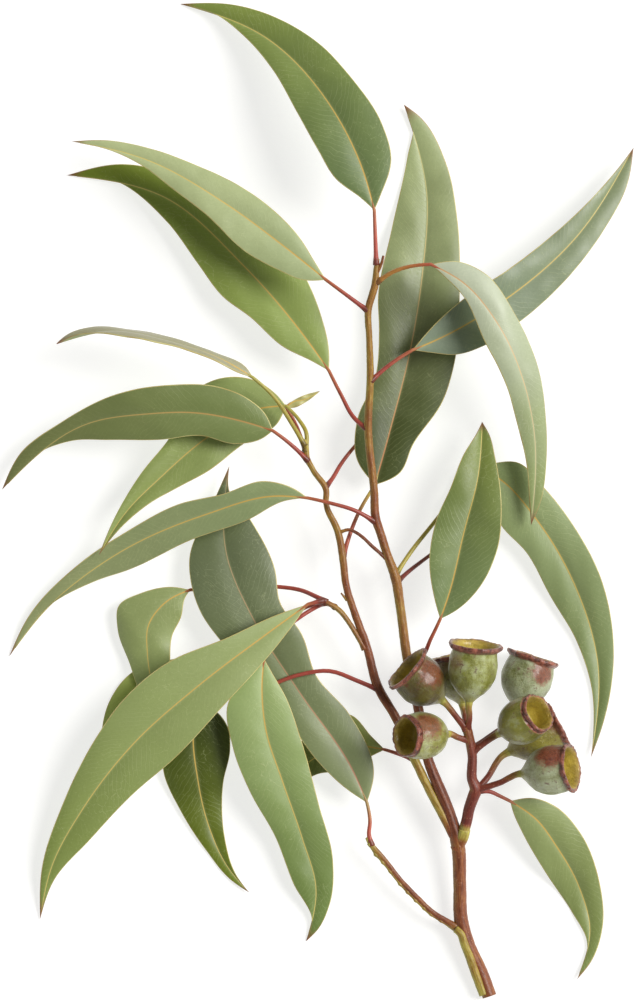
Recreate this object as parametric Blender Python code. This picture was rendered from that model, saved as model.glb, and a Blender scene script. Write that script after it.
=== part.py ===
"""A cut eucalyptus sprig with eight gum nuts, lying flat. Metres, +Z up, the shoot tip towards +Y.

Plan positions are on a tracing grid: x runs right and y runs from the shoot tip down to the cut end.
Heights above the table are in millimetres. Radii are in millimetres too.
"""

import math

import bmesh
import bpy
import numpy as np
from mathutils import Vector
from mathutils.bvhtree import BVHTree

MM = 0.001
SPRIG_LENGTH = 360 * MM  # from the top leaf to the cut end
GRID_STEPS = 1000  # tracing steps along that length
GRID = SPRIG_LENGTH / GRID_STEPS
CENTRE_X = 317.5  # the grid point that lies over the origin
CENTRE_Y = 500.6

GAP = 0.3 * MM  # between neighbouring pieces
START_GAP = 0.45 * MM  # between a leaf stalk's end and the wood
BLADE_THICKNESS = 0.7 * MM
MIDRIB_HEIGHT = 0.3 * MM
STALK_RADII = (0.85 * MM, 0.6 * MM)  # leaf stalk at the stem and at the blade
STALK_RINGS = 5
BLADE_RINGS = 12
WAVE_HEIGHT = 0.5 * MM
WAVE_COUNT = 2.5
WAVE_STEP = 0.38  # how far the waves shift from leaf to leaf, as a share of one wave
WAVE_SHIFT = 0.2  # and from the middle to either margin
STEM_SIDES = 8
# Where the points of a leaf's ring lie on its round stalk: the upper half, then the lower.
RING_TURNS = [math.radians(turn) for turn in (162, 126, 90, 54, 18, -18, -54, -90, -126, -162)]
START_SHARES = np.arange(0.02, 0.6, 0.004)  # tried for a leaf stalk's start, as shares of its length
CURVE_STEPS = 12  # between two points of a curve
SHARP_ANGLE = math.radians(50)

NUT_SIDES = 14
RIM_LOBES = 5
RIM_LOBE_HEIGHT = 0.35 * MM

# Stems, as (x, y, height, radius) from the root of each outward.
MAIN_STEM = (
    (490, 998, 2.25, 2.5), (483, 978, 2.2, 2.45), (468, 944, 4.2, 2.35), (462, 924, 5.2, 2.5),
    (460, 885, 7, 2.3), (458, 845, 9.2, 2.5), (452, 822, 10.4, 2.2), (446, 805, 11, 2.15),
    (427, 756, 12.2, 1.8), (418, 707, 12.4, 1.75), (407, 657, 13.3, 1.7), (400, 606, 15, 1.6),
    (395, 576, 16.2, 1.8), (388, 557, 16.8, 1.5), (380, 532, 17.8, 1.5), (376, 520, 18.2, 1.6),
    (374, 491, 19, 1.4), (368, 430, 21, 1.4), (370, 377, 23.5, 1.3), (369, 338, 25, 1.1),
    (368, 311, 25.8, 1.25), (375, 284, 26.7, 1.3), (376, 270, 27, 1), (377, 260, 27.2, 0.8),
)
LEFT_BRANCH = (
    (453, 836, 9.9, 1.5), (443, 816, 10.8, 1.55), (433, 797, 11, 1.6), (413, 756, 12, 1.6), (396, 718, 12.5, 1.6),
    (378, 687, 13, 1.7), (366, 644, 14, 1.45), (355, 614, 15, 1.35), (346, 585, 15.9, 1.3),
    (343, 560, 16.4, 1.35), (338, 532, 16.8, 1.3), (326, 503, 17, 1.05), (326, 490, 17, 1.15),
    (313, 470, 17.5, 1), (307, 458, 18, 1.1), (306, 446, 18.6, 0.9), (304, 440, 19, 0.85),
)
LOW_TWIG = (
    (460, 931, 5, 1), (456, 928, 5.5, 1.5), (447, 922, 6, 1.1), (434, 914, 6.6, 1),
    (417, 898, 7.3, 1), (400, 880, 8, 0.95), (385, 861, 8.8, 1), (378, 853, 9.1, 1.1), (369, 843, 9.5, 1),
)
LEAF_TWIG = (
    (365, 649, 14, 1), (358, 637, 14.5, 0.95), (350, 624, 15, 0.9), (339, 610, 15.6, 0.95),
    (330, 604, 15.9, 0.9), (321, 600, 16, 0.85),
)
CROSS_STALK = (
    (337, 534, 16.8, 0.55), (347, 530, 17.3, 0.6), (354, 531, 17.4, 0.6), (373, 547, 17.2, 0.6),
    (385, 558, 16.9, 0.6), (396, 571, 16.5, 0.65),
)
BROKEN_STUB = ((375, 276, 26.8, 0.7), (381, 265, 27.6, 0.55), (383, 257, 28.2, 0.4))
STIPULE = ((347, 600, 15.4, 0.5), (341, 593, 16.4, 0.25))
NUT_COLLAR = ((457, 850, 8.8, 1.9), (463, 836.5, 10.7, 2.2), (464.6, 829.8, 11.27, 2.05))

# The fruit stalk and the short stalks of its nuts, outward from its main line.
NUT_STALK = (
    (464.9, 828.6, 11.38, 1.95), (469, 809, 13, 1.95), (474, 797, 14.4, 2.1), (477, 790, 15, 2.3),
    (472, 780, 15.8, 1.8), (472, 756, 17, 1.65), (470, 742, 17.8, 1.7), (466, 726, 18.8, 1.7),
)

# Nuts. stalk runs from the fruit stalk towards the base, each point (x, y, height, radius). base and
# mouth are the ends of the nut's own axis. radius is the body's in mm, and rim is the width of the rim
# against the body's.
NUTS = (
    {"stalk": ((466, 729, 18.8, 1.2), (455, 715, 20.3, 1.1)),
     "base": (442, 700, 22.2), "mouth": (405.5, 667, 26.3), "radius": 8.8, "rim": 1.08},
    {"stalk": ((467, 728, 18.8, 1.2), (469, 717, 21, 1.1)),
     "base": (468.5, 701, 25), "mouth": (474.5, 643, 28.6), "radius": 8.8, "rim": 1.1},
    {"stalk": ((466, 730, 18, 1.2), (465, 718, 14, 1.1)),
     "base": (462.5, 704, 8.6), "mouth": (453, 655, 9), "radius": 8.5, "rim": 1.08},
    {"stalk": ((472, 748, 17, 1.2), (488, 738, 14, 1.1)),
     "base": (517, 709, 9.2), "mouth": (534, 656, 9.4), "radius": 9.2, "rim": 1.05},
    {"stalk": ((472, 752, 17, 1.2), (486, 741, 18, 1.1)),
     "base": (499.5, 732.5, 18.8), "mouth": (538, 711, 31), "radius": 8.2, "rim": 0.88},
    {"stalk": ((477, 790, 14.8, 1.2), (487, 778, 13, 1.1)),
     "base": (508.5, 752.5, 8.6), "mouth": (561, 725, 8.7), "radius": 8.6, "rim": 1.06},
    {"stalk": ((478, 789, 15, 1.2), (500, 782, 17, 1.1)),
     "base": (521, 773, 19.4), "mouth": (571, 766, 26.6), "radius": 8.9, "rim": 0.98},
    {"stalk": ((469, 740, 17.8, 1.2), (458, 737, 18.8, 1.1)),
     "base": (447, 733.5, 19.8), "mouth": (404.5, 735, 31.4), "radius": 8.5, "rim": 0.9},
)
NUT_STALK_END = 1.4  # mm, radius of each nut's stalk where the nut sits on it
NUT_STALK_STRAIGHT = 1.2 * MM  # its last part, which runs along the nut's axis

# A nut's outline, from its base up the outside, over the rim, and down the inside to the column on its
# floor. Each point is a radius against the body's and a height against the nut's length.
NUT_BODY = ((0.18, 0), (0.34, 0.08), (0.62, 0.19), (0.88, 0.35), (1.0, 0.54), (0.99, 0.7), (0.92, 0.87))
NUT_RIM = ((1, 0.94), (0.98, 1.0), (0.86, 0.985))
NUT_INSIDE = ((0.79, 0.9), (0.75, 0.68), (0.6, 0.58), (0.12, 0.58), (0.09, 0.68))

# Leaves. stalk runs from the middle of the stem to the base of the blade, and rib from there towards tip.
# left and right are the margins in plan, seen from the base. lifts are how far the left and the right
# margin stand over the rib, in mm, at three places along the blade.
LEAVES = {
    "leaf_tip": {
        "stalk": ((376, 266, 27), (375, 240, 28.5), (374, 212, 29)),
        "rib": ((363, 173, 28), (332, 110, 24), (265, 37, 11)),
        "tip": (180, 2, 0.1),
        "left": ((362, 201), (335, 180), (318, 152), (296, 112), (273, 71), (245, 37), (213, 12)),
        "right": ((380, 198), (391, 162), (382, 126), (352, 80), (320, 45), (286, 22), (236, 4)),
        "lifts": ((1.5, 2.5, 1), (1, 1, 0)),
    },
    "leaf_upper_left_front": {
        "stalk": ((368, 312, 25.8), (345, 295, 27), (326, 281, 27)),
        "rib": ((286, 249, 26), (226, 205, 24), (150, 162, 21)),
        "tip": (72, 142, 17),
        "left": ((302, 281), (278, 271), (250, 256), (204, 214), (173, 190), (143, 167), (110, 151)),
        "right": ((315, 263), (300, 239), (270, 208), (235, 184), (194, 165), (153, 150), (108, 141)),
        "lifts": ((1, 1.5, 0.5), (-1, -2, -1)),
    },
    "leaf_upper_left_back": {
        "stalk": ((368, 430, 21), (354, 418, 19.5), (341, 395, 17.5), (329, 371, 16)),
        "rib": ((304, 336, 14), (245, 267, 9), (163, 196, 5)),
        "tip": (66, 174, 0.1),
        "left": ((311, 361), (283, 347), (251, 318), (222, 296), (198, 264), (167, 222), (112, 179)),
        "right": ((329, 350), (321, 315), (306, 278), (277, 236), (235, 203), (190, 180), (120, 163)),
        "lifts": ((1.5, 1.5, 0.5), (-1, -1, 0)),
    },
    "leaf_upper_back": {
        "stalk": ((343, 558, 16.4), (348, 540, 14), (359, 512, 11), (375, 485, 10)),
        "rib": ((391, 427, 9.5), (411, 347, 8), (423, 270, 5.5), (427, 190, 0.5)),
        "tip": (404, 103, 2),
        "left": ((357, 460), (357, 420), (375, 378), (379, 330), (378, 297), (391, 232), (408, 154),
                 (413, 120)),
        "right": ((400, 473), (413, 445), (443, 401), (456, 356), (460, 292), (458, 220), (447, 163),
                  (422, 117)),
        "lifts": ((1.5, 2, 0.5), (2, 1.5, 0.5)),
    },
    "leaf_upper_right": {
        "stalk": ((370, 382, 23.4), (391, 364, 22.5), (412, 350.5, 21.5)),
        "rib": ((441, 338, 20.5), (506, 299, 18), (571, 243, 14)),
        "tip": (634, 147, 7),
        "left": ((434, 325), (465, 298), (506, 271), (549, 238), (584, 206), (619, 167)),
        "right": ((430, 353), (456, 355), (484, 346), (521, 321), (560, 286), (604, 230), (628, 183)),
        "lifts": ((2, 2, 1), (-1, -1, 0)),
    },
    "leaf_drooping": {
        "stalk": ((376, 284, 26.7), (393, 273, 29.5), (409, 268, 31.5), (430, 266, 33)),
        "rib": ((463, 285, 34.5), (497, 326, 34), (521, 378, 29), (533, 430, 23)),
        "tip": (531, 525, 13),
        "left": ((456, 263), (484, 275), (513, 314), (534, 358), (545, 415), (546, 460), (541, 500)),
        "right": ((441, 276), (463, 299), (482, 340), (503, 381), (517, 427), (526, 465), (529, 502)),
        "lifts": ((-2, -3, -1.5), (0, 1, 0.5)),
    },
    "leaf_right_back": {
        "stalk": ((395, 576, 16.4), (410, 553, 13.5), (433, 524, 10), (478, 467, 9)),
        "rib": ((500, 479, 9), (538, 521, 7.5), (575, 584, 4), (599, 665, 0.5)),
        "tip": (592, 758, 2),
        "left": ((494, 463), (517, 462), (544, 487), (573, 524), (602, 579), (615, 652), (605, 722)),
        "right": ((485, 487), (501, 525), (527, 553), (550, 595), (578, 643), (593, 692), (594, 737)),
        "lifts": ((1, 1.5, 0.5), (-1, 0, 0.5)),
    },
    "leaf_right_front": {
        "stalk": ((408, 662, 13.2), (420, 658, 12.6), (431, 638, 14.5), (440, 619, 16)),
        "rib": ((449, 593, 17), (463, 535, 18), (478, 475, 17)),
        "tip": (482, 422, 14),
        "left": ((434, 598), (429, 560), (436, 520), (450, 488), (463, 455), (477, 432)),
        "right": ((458, 609), (478, 589), (497, 549), (501, 505), (495, 458), (489, 434)),
        "lifts": ((2, 1, 2), (1, 3, 1)),
    },
    "leaf_edge_on": {
        "stalk": ((305, 446, 18.7), (292, 424, 21), (272, 395, 24.5), (253, 378, 26)),
        "rib": ((215, 357, 27), (172, 343, 27), (115, 332, 24)),
        "tip": (57, 344, 17),
        "left": ((240, 374), (215, 361), (172, 347), (130, 338), (90, 334), (69, 338)),
        "right": ((248, 370), (215, 353), (172, 339), (130, 330), (90, 328), (68, 335)),
        "lifts": ((4, 7, 4), (-4, -8, -5)),
    },
    "leaf_left_back": {
        "stalk": ((305, 452, 18.3), (306, 432, 17.2), (299, 420, 16), (286, 406, 15)),
        "rib": ((258, 409, 14), (208, 437, 13), (161, 477, 12.5), (128, 510, 13)),
        "tip": (99, 555, 13.5),
        "left": ((278, 423), (245, 443), (207, 472), (179, 487), (149, 504), (119, 530)),
        "right": ((276, 394), (251, 379), (221, 378), (198, 388), (168, 440), (142, 472), (112, 523)),
        "lifts": ((0, 1, 1), (-1, 0, 1)),
    },
    "leaf_left_front": {
        "stalk": ((308, 461, 18), (297, 450, 20), (284, 439, 21.2), (273, 431, 21.8)),
        "rib": ((248, 423, 22), (195, 413, 22), (149, 414, 21), (90, 423, 16)),
        "tip": (1, 490, 4),
        "left": ((262, 439), (234, 444), (202, 436), (161, 440), (110, 440), (72, 441), (28, 459)),
        "right": ((266, 415), (245, 397), (218, 387), (174, 385), (115, 395), (60, 423), (20, 453)),
        "lifts": ((-1.5, -1, -0.5), (1, 2.5, 1)),
    },
    "leaf_left_small": {
        "stalk": ((306, 456, 17.8), (302, 441, 14.5), (296, 425, 12.5), (286, 407, 12)),
        "rib": ((293, 402, 12), (306, 399, 12)),
        "tip": (320, 391, 12),
        "left": ((291, 402), (302, 396)),
        "right": ((292, 408), (306, 402)),
        "lifts": ((0, 0, 0), (0, 0, 0)),
    },
    "leaf_left_long": {
        "stalk": ((375, 522, 18.4), (356, 511, 21), (330, 503, 21.8), (308, 498, 21.8)),
        "rib": ((275, 496, 21.5), (207, 514, 17), (115, 555, 9), (48, 607, 4)),
        "tip": (8, 657, 0.1),
        "left": ((285, 501), (248, 520), (191, 540), (131, 569), (96, 581), (46, 608), (18, 639)),
        "right": ((293, 488), (264, 481), (223, 494), (179, 504), (129, 530), (76, 566), (28, 616)),
        "lifts": ((-1, -1.5, 0), (1.5, 1.5, 1)),
    },
    "leaf_low_twig": {
        "stalk": ((372, 846, 9.3), (369, 835, 9.8), (370, 822, 10), (367, 803, 10)),
        "rib": ((352, 769, 10), (300, 693, 10.5), (256, 624, 12), (226, 552, 9)),
        "tip": (229, 466, 5),
        "left": ((345, 788), (318, 762), (290, 724), (262, 690), (227, 649), (198, 607), (189, 560),
                 (214, 500)),
        "right": ((374, 774), (350, 715), (316, 675), (302, 634), (280, 602), (275, 569), (252, 522),
                  (229, 490)),
        "lifts": ((0.5, -1, -1), (0, 0.5, 0.5)),
    },
    "leaf_small_curled": {
        "stalk": ((327, 602, 15.9), (315, 596, 14), (300, 590, 10), (279, 587, 8), (230, 588, 7),
                  (190, 590, 7)),
        "rib": ((166, 602, 7.5), (148, 626, 7), (147, 652, 6.2), (156, 700, 4.3)),
        "tip": (170, 738, 3),
        "left": ((185, 598), (181, 617), (172, 636), (170, 661), (172, 690), (174, 715)),
        "right": ((172, 587), (141, 593), (118, 606), (117, 629), (129, 664), (140, 695), (156, 722)),
        "lifts": ((-1, -1, 0), (-1.5, -2, -0.5)),
    },
    "leaf_big_front": {
        "stalk": ((323, 600.5, 16), (316, 602, 17), (308, 604, 17.5)),
        "rib": ((265, 635, 19.5), (199, 685, 20), (133, 744, 16.5), (82, 810, 11), (52, 865, 6)),
        "tip": (39, 921, 0.1),
        "left": ((293, 625), (260, 666), (224, 705), (179, 754), (130, 797), (89, 841), (53, 882)),
        "right": ((278, 614), (230, 636), (163, 665), (122, 701), (94, 741), (63, 803), (41, 870)),
        "lifts": ((0, -1, -1), (1.5, 2.5, 1)),
    },
    "leaf_dark_left": {
        "stalk": ((335, 607, 15.8), (328, 604, 11.5), (312, 605, 8), (270, 632, 4.2), (225, 650, 2.6),
                  (186, 657, 2.4)),
        "rib": ((163, 672, 1.8), (138, 707, 0.6), (119, 750, 0.5)),
        "tip": (106, 795, 0.5),
        "left": ((178, 679), (162, 718), (140, 757)),
        "right": ((166, 661), (131, 673), (108, 703), (100, 740)),
        "lifts": ((0, 0, 0), (0.5, 0.5, 0)),
    },
    "leaf_dark_low": {
        "stalk": ((379, 690, 13.1), (358, 681, 13.6), (330, 671, 13.4), (298, 675, 13.3), (262, 688, 12.2),
                  (222, 693, 10.5), (197, 706, 8.5)),
        "rib": ((193, 739, 6), (197, 777, 4), (208, 826, 1), (226, 866, 0.5)),
        "tip": (249, 894, 1.2),
        "left": ((212, 709), (228, 728), (230, 750), (223, 784), (224, 835), (236, 876)),
        "right": ((181, 714), (163, 742), (163, 773), (179, 810), (205, 851), (230, 881)),
        "lifts": ((0.5, 0.5, 0.5), (-1, -0.5, 0)),
    },
    "leaf_hanging": {
        "stalk": ((326, 602.5, 15.8), (320, 605, 13), (300, 617, 14), (276, 638, 15), (264, 658, 15.5)),
        "rib": ((262, 690, 15.3), (266, 730, 14), (282, 780, 11.5), (302, 838, 7), (316, 890, 4)),
        "tip": (306, 943, 0.1),
        "left": ((273, 674), (285, 695), (301, 739), (319, 805), (333, 860), (330, 905), (318, 931)),
        "right": ((250, 673), (228, 703), (233, 748), (250, 792), (275, 837), (293, 884), (312, 925)),
        "lifts": ((-0.5, 0, -0.5), (1, 1.5, 1)),
    },
    "leaf_nut_stalk": {
        "stalk": ((477, 791, 15), (490, 791.5, 14.6), (500, 796, 13.8), (510, 801, 13)),
        "rib": ((536, 819, 10), (557, 847, 6), (580, 888, 0.7), (591, 930, 0.5)),
        "tip": (578, 981, 1.5),
        "left": ((533, 798), (555, 806), (580, 832), (600, 881), (604, 927), (593, 962)),
        "right": ((513, 812), (523, 834), (547, 875), (573, 914), (588, 944), (586, 966)),
        "lifts": ((1, 1.5, 0.5), (-1, -0.5, 0)),
    },
    "leaf_behind_twig": {
        "stalk": ((415, 760, 12), (407, 757, 11), (395, 753, 9), (385, 750, 7.8)),
        "rib": ((367, 747, 6), (338, 748, 3.5), (306, 765, 1.6)),
        "tip": (277, 800, 1),
        "left": ((371, 757), (345, 772), (318, 775), (293, 790)),
        "right": ((372, 737), (350, 715), (322, 722), (297, 748), (282, 778)),
        "lifts": ((0, 0, 0), (0.5, 0.5, 0)),
    },
    "leaf_hidden_upper": {
        "stalk": ((325, 488, 17), (332, 479, 14.5), (341, 464, 11), (355, 446, 7), (368, 432, 4.5)),
        "rib": ((388, 400, 3), (408, 350, 2.2), (420, 300, 1.2)),
        "tip": (428, 250, 0.8),
        "left": ((374, 412), (389, 370), (405, 315)),
        "right": ((388, 420), (412, 385), (427, 330), (430, 285)),
        "lifts": ((0, 0, 0), (0, 0, 0)),
    },
    "leaf_hidden_middle": {
        "stalk": ((397, 582, 16), (408, 572, 12.5), (421, 562, 8.5), (433, 553, 5.5), (441, 546, 4)),
        "rib": ((455, 520, 2.5), (465, 492, 2)),
        "tip": (473, 458, 1.5),
        "left": ((441, 527), (449, 497), (462, 470)),
        "right": ((460, 535), (478, 508), (480, 480)),
        "lifts": ((0, 0, 0), (0, 0, 0)),
    },
}

STEM_BROWN = (0.24, 0.075, 0.03)
STALK_RED = (0.17, 0.04, 0.03)
NUT_OLIVE = (0.22, 0.24, 0.1)
LEAF_GREEN = (0.13, 0.2, 0.08)


def clear_scene():
    for obj in list(bpy.data.objects):
        bpy.data.objects.remove(obj)


def material(name, colour, roughness):
    made = bpy.data.materials.new(name)
    made.use_nodes = True
    shader = made.node_tree.nodes["Principled BSDF"]
    shader.inputs["Base Color"].default_value = (*colour, 1)
    shader.inputs["Roughness"].default_value = roughness
    shader.inputs["Metallic"].default_value = 0
    return made


def place(x, y, height=0.0):
    """A point of the tracing grid in metres."""
    return np.array(((x - CENTRE_X) * GRID, (CENTRE_Y - y) * GRID, height * MM))


def along(points, fractions):
    """The points at these fractions of the length of a smooth curve through the given points."""
    points = np.array(points, float)
    chords = np.linalg.norm(np.diff(points, axis=0), axis=1)
    slopes = np.diff(points, axis=0) / chords[:, None]
    tangents = np.empty_like(points)
    tangents[1:-1] = (slopes[:-1] * chords[1:, None] + slopes[1:] * chords[:-1, None]) / (
        chords[1:] + chords[:-1]
    )[:, None]
    tangents[0] = 1.5 * slopes[0] - 0.5 * tangents[1] if len(points) > 2 else slopes[0]
    tangents[-1] = 1.5 * slopes[-1] - 0.5 * tangents[-2] if len(points) > 2 else slopes[0]
    dense = [points[0]]
    for i, chord in enumerate(chords):
        for t in np.arange(1, CURVE_STEPS + 1) / CURVE_STEPS:
            dense.append(
                (2 * t**3 - 3 * t**2 + 1) * points[i]
                + (t**3 - 2 * t**2 + t) * chord * tangents[i]
                + (3 * t**2 - 2 * t**3) * points[i + 1]
                + (t**3 - t**2) * chord * tangents[i + 1]
            )
    dense = np.array(dense)
    lengths = np.concatenate(([0], np.cumsum(np.linalg.norm(np.diff(dense, axis=0), axis=1))))
    wanted = np.asarray(fractions) * lengths[-1]
    return np.array([np.interp(wanted, lengths, column) for column in dense.T]).T


def unit(vector):
    return vector / np.linalg.norm(vector)


def on_table(point):
    """The point, pressed up to the table where it would lie lower, so that low spots rest flat."""
    return np.array((point[0], point[1], max(point[2], 0)))


def skin(name, rings, surface, tip=None, split_from=0):
    """One closed solid through rings of points, with flat ends, or with a point at the tip.

    In each ring the quads from split_from on are split the other way, so that a blade's faces match.
    """
    mesh = bpy.data.meshes.new(name)
    bm = bmesh.new()
    origin = np.mean(rings[0], axis=0)
    loops = [[bm.verts.new(on_table(point) - origin) for point in ring] for ring in rings]
    count = len(loops[0])
    for near, far in zip(loops, loops[1:]):
        for i in range(count):
            j = (i + 1) % count
            if i >= split_from:
                bm.faces.new((near[i], near[j], far[i]))
                bm.faces.new((near[j], far[j], far[i]))
            else:
                bm.faces.new((near[i], near[j], far[j]))
                bm.faces.new((near[i], far[j], far[i]))
    bm.faces.new(loops[0])
    if tip is None:
        bm.faces.new(loops[-1])
    else:
        point = bm.verts.new(tip - origin)
        for i in range(count):
            bm.faces.new((loops[-1][i], loops[-1][(i + 1) % count], point))
    bmesh.ops.recalc_face_normals(bm, faces=bm.faces)
    bm.to_mesh(mesh)
    bm.free()
    mesh.shade_smooth()
    mesh.set_sharp_from_angle(angle=SHARP_ANGLE)
    mesh.materials.append(surface)
    obj = bpy.data.objects.new(name, mesh)
    obj.location = origin
    bpy.context.scene.collection.objects.link(obj)
    return obj


def frames(centres, across):
    """For each point of a path, the across and up directions, carried along it with no twist."""
    tangents = np.gradient(centres, axis=0)
    found = []
    for tangent in tangents:
        tangent = unit(tangent)
        across = unit(across - tangent * np.dot(across, tangent))
        found.append((across, np.cross(across, tangent)))
    return found


def round_rings(centres, radii, sides, across):
    turns = [math.tau * (i + 0.5) / sides for i in range(sides)]
    return [
        [centre + radius * (math.cos(turn) * side + math.sin(turn) * up) for turn in turns]
        for centre, radius, (side, up) in zip(centres, radii, frames(centres, across))
    ]


def tube(name, centres, radii, surface):
    radii = [radius * MM for radius in radii]
    rings = round_rings(np.array(centres), radii, STEM_SIDES, np.array((0, 0, 1.0)))
    return skin(name, rings, surface)


def stem(name, points, surface):
    """A tapering stem through (x, y, height, radius) points."""
    centres = [place(*point[:3]) for point in points]
    return tube(name, centres, [point[3] for point in points], surface)


def fuse(first, others):
    """Joins the other objects to the first with one Boolean union."""
    group = bpy.data.collections.new(first.name + "_branches")
    bpy.context.scene.collection.children.link(group)
    for obj in others:
        bpy.context.scene.collection.objects.unlink(obj)
        group.objects.link(obj)
    union = first.modifiers.new("Union", "BOOLEAN")
    union.operation = "UNION"
    union.solver = "EXACT"
    union.operand_type = "COLLECTION"
    union.collection = group
    joined = bpy.data.meshes.new_from_object(
        first.evaluated_get(bpy.context.evaluated_depsgraph_get())
    )
    first.modifiers.remove(union)
    first.data = joined
    for obj in others:
        bpy.data.objects.remove(obj)
    bpy.data.collections.remove(group)


def woody_stem():
    surface = material("bark", STEM_BROWN, 0.5)
    main = stem("woody_stem", MAIN_STEM, surface)
    branches = (LEFT_BRANCH, LOW_TWIG, LEAF_TWIG, CROSS_STALK, BROKEN_STUB, STIPULE, NUT_COLLAR)
    fuse(main, [stem("branch", points, surface) for points in branches])
    return main


def nut_stalk():
    surface = material("nut_stalk_bark", STALK_RED, 0.45)
    main = stem("nut_stalk", NUT_STALK, surface)
    stalks = []
    for nut in NUTS:
        base, axis, _ = nut_axis(nut)
        ends = [base - axis * (GAP + NUT_STALK_STRAIGHT), base - axis * GAP]
        centres = [place(*point[:3]) for point in nut["stalk"]] + ends
        radii = [point[3] for point in nut["stalk"]] + [NUT_STALK_END, NUT_STALK_END]
        stalks.append(tube("nut_stem", centres, radii, surface))
    fuse(main, stalks)
    return main


def nut_axis(nut):
    """The nut's base, the direction to its mouth and its length."""
    base = place(*nut["base"])
    axis = place(*nut["mouth"]) - base
    return base, unit(axis), np.linalg.norm(axis)


def gum_nut(number, nut):
    """A hollow cup turned about its own axis, with a lobed rim and a column on its floor."""
    base, axis, length = nut_axis(nut)
    radius = nut["radius"] * MM
    rim = nut["rim"]
    body = [(r, height, 0) for r, height in NUT_BODY]
    rims = [(r * rim, height, RIM_LOBE_HEIGHT) for r, height in NUT_RIM]
    inside = [(r * rim, height, 0) for r, height in NUT_INSIDE]
    side = unit(np.cross(axis, (0, 0, 1.0)))
    up = np.cross(side, axis)
    rings = []
    for r, height, lobe in body + rims + inside:
        ring = []
        for i in range(NUT_SIDES):
            turn = math.tau * (i + 0.5) / NUT_SIDES
            reach = r * radius + lobe * math.sin(RIM_LOBES * turn + number)
            outward = math.cos(turn) * side + math.sin(turn) * up
            ring.append(base + axis * height * length + reach * outward)
        rings.append(ring)
    return skin(f"gum_nut_{number}", rings, material(f"nut_{number}", NUT_OLIVE, 0.55))


def stalk_start(path, wood):
    """How far along its path a leaf stalk can start with its whole end clear of the wood."""
    tree = BVHTree.FromObject(wood, bpy.context.evaluated_depsgraph_get())
    origin = Vector(wood.location)
    for share in START_SHARES:
        near, far = along(path, np.linspace(share, 1, STALK_RINGS))[:2]
        first = np.array((near, (near + far) / 2, far))
        rings = round_rings(first, [STALK_RADII[0]] * 3, len(RING_TURNS), np.array((0, 0, 1.0)))
        clear = True
        for point in rings[0] + rings[1]:
            hit, normal, _, distance = tree.find_nearest(Vector(point) - origin)
            outside = (Vector(point) - origin - hit).dot(normal) > 0
            clear = clear and outside and distance >= START_GAP
        if clear:
            return share
    return START_SHARES[-1]


def stalk_rings(path, across, wood):
    """Round rings from beside the wood to the blade's base, turned to meet the blade with no twist."""
    inward = along(path, np.linspace(stalk_start(path, wood), 1, STALK_RINGS))[::-1]
    radii = np.linspace(*STALK_RADII, STALK_RINGS)[::-1]
    rings = [
        [centre + radius * (math.cos(turn) * side - math.sin(turn) * down) for turn in RING_TURNS]
        for centre, radius, (side, down) in zip(inward, radii, frames(inward, across))
    ]
    return rings[::-1]


def margins(number, shape, base, tip, rib, stations):
    """The left and right edges of a blade, lifted from its rib and gently waved."""
    edges = []
    for side, margin, lifts in zip((-1, 1), ("left", "right"), shape["lifts"]):
        plan = [base[:2], *(place(*point)[:2] for point in shape[margin]), tip[:2]]
        lift = np.interp(stations, (0, 0.2, 0.5, 0.8, 1), (0, *lifts, 0)) * MM
        phase = WAVE_STEP * number + WAVE_SHIFT * side
        wave = np.sin(math.tau * (WAVE_COUNT * stations + phase)) * np.sin(math.pi * stations)
        edges.append(np.column_stack((along(plan, stations), rib[:, 2] + lift + WAVE_HEIGHT * wave)))
    return edges


def blade_rings(left, rib, right):
    """Flat rings across the blade, with the midrib swollen underneath."""
    rings = []
    for edge, centre, other_edge, ahead in zip(left, rib, right, np.gradient(rib, axis=0)):
        up = unit(np.cross(other_edge - edge, ahead))
        line = (edge, (edge + centre) / 2, centre, (other_edge + centre) / 2, other_edge)
        swell = (0, 0, MIDRIB_HEIGHT, 0, 0)
        under = [on_table(point - up * (BLADE_THICKNESS / 2 + more)) for point, more in zip(line, swell)]
        top = [point + up * BLADE_THICKNESS / 2 for point in line]
        for upper, lower in zip(top, under):
            upper[2] = max(upper[2], lower[2] + BLADE_THICKNESS * up[2])
        rings.append(top + under[::-1])
    return rings


def leaf(number, name, shape, wood):
    """Stalk, midrib and blade in one solid."""
    path = [place(*point) for point in shape["stalk"]]
    base = path[-1]
    tip = place(*shape["tip"])
    stations = (1 - np.cos(math.pi * np.arange(1, BLADE_RINGS) / BLADE_RINGS)) / 2
    rib = along([base, *(place(*point) for point in shape["rib"]), tip], stations)
    left, right = margins(number, shape, base, tip, rib, stations)
    rings = stalk_rings(path, unit(right[0] - left[0]), wood) + blade_rings(left, rib, right)
    return skin(name, rings, material(name, LEAF_GREEN, 0.45), tip, split_from=len(RING_TURNS) // 2)


def main():
    clear_scene()
    wood = woody_stem()
    fruit_wood = nut_stalk()
    for number, nut in enumerate(NUTS, 1):
        gum_nut(number, nut)
    for number, (name, shape) in enumerate(LEAVES.items()):
        leaf(number, name, shape, fruit_wood if name == "leaf_nut_stalk" else wood)


main()
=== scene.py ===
from functools import partial
import math

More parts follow.
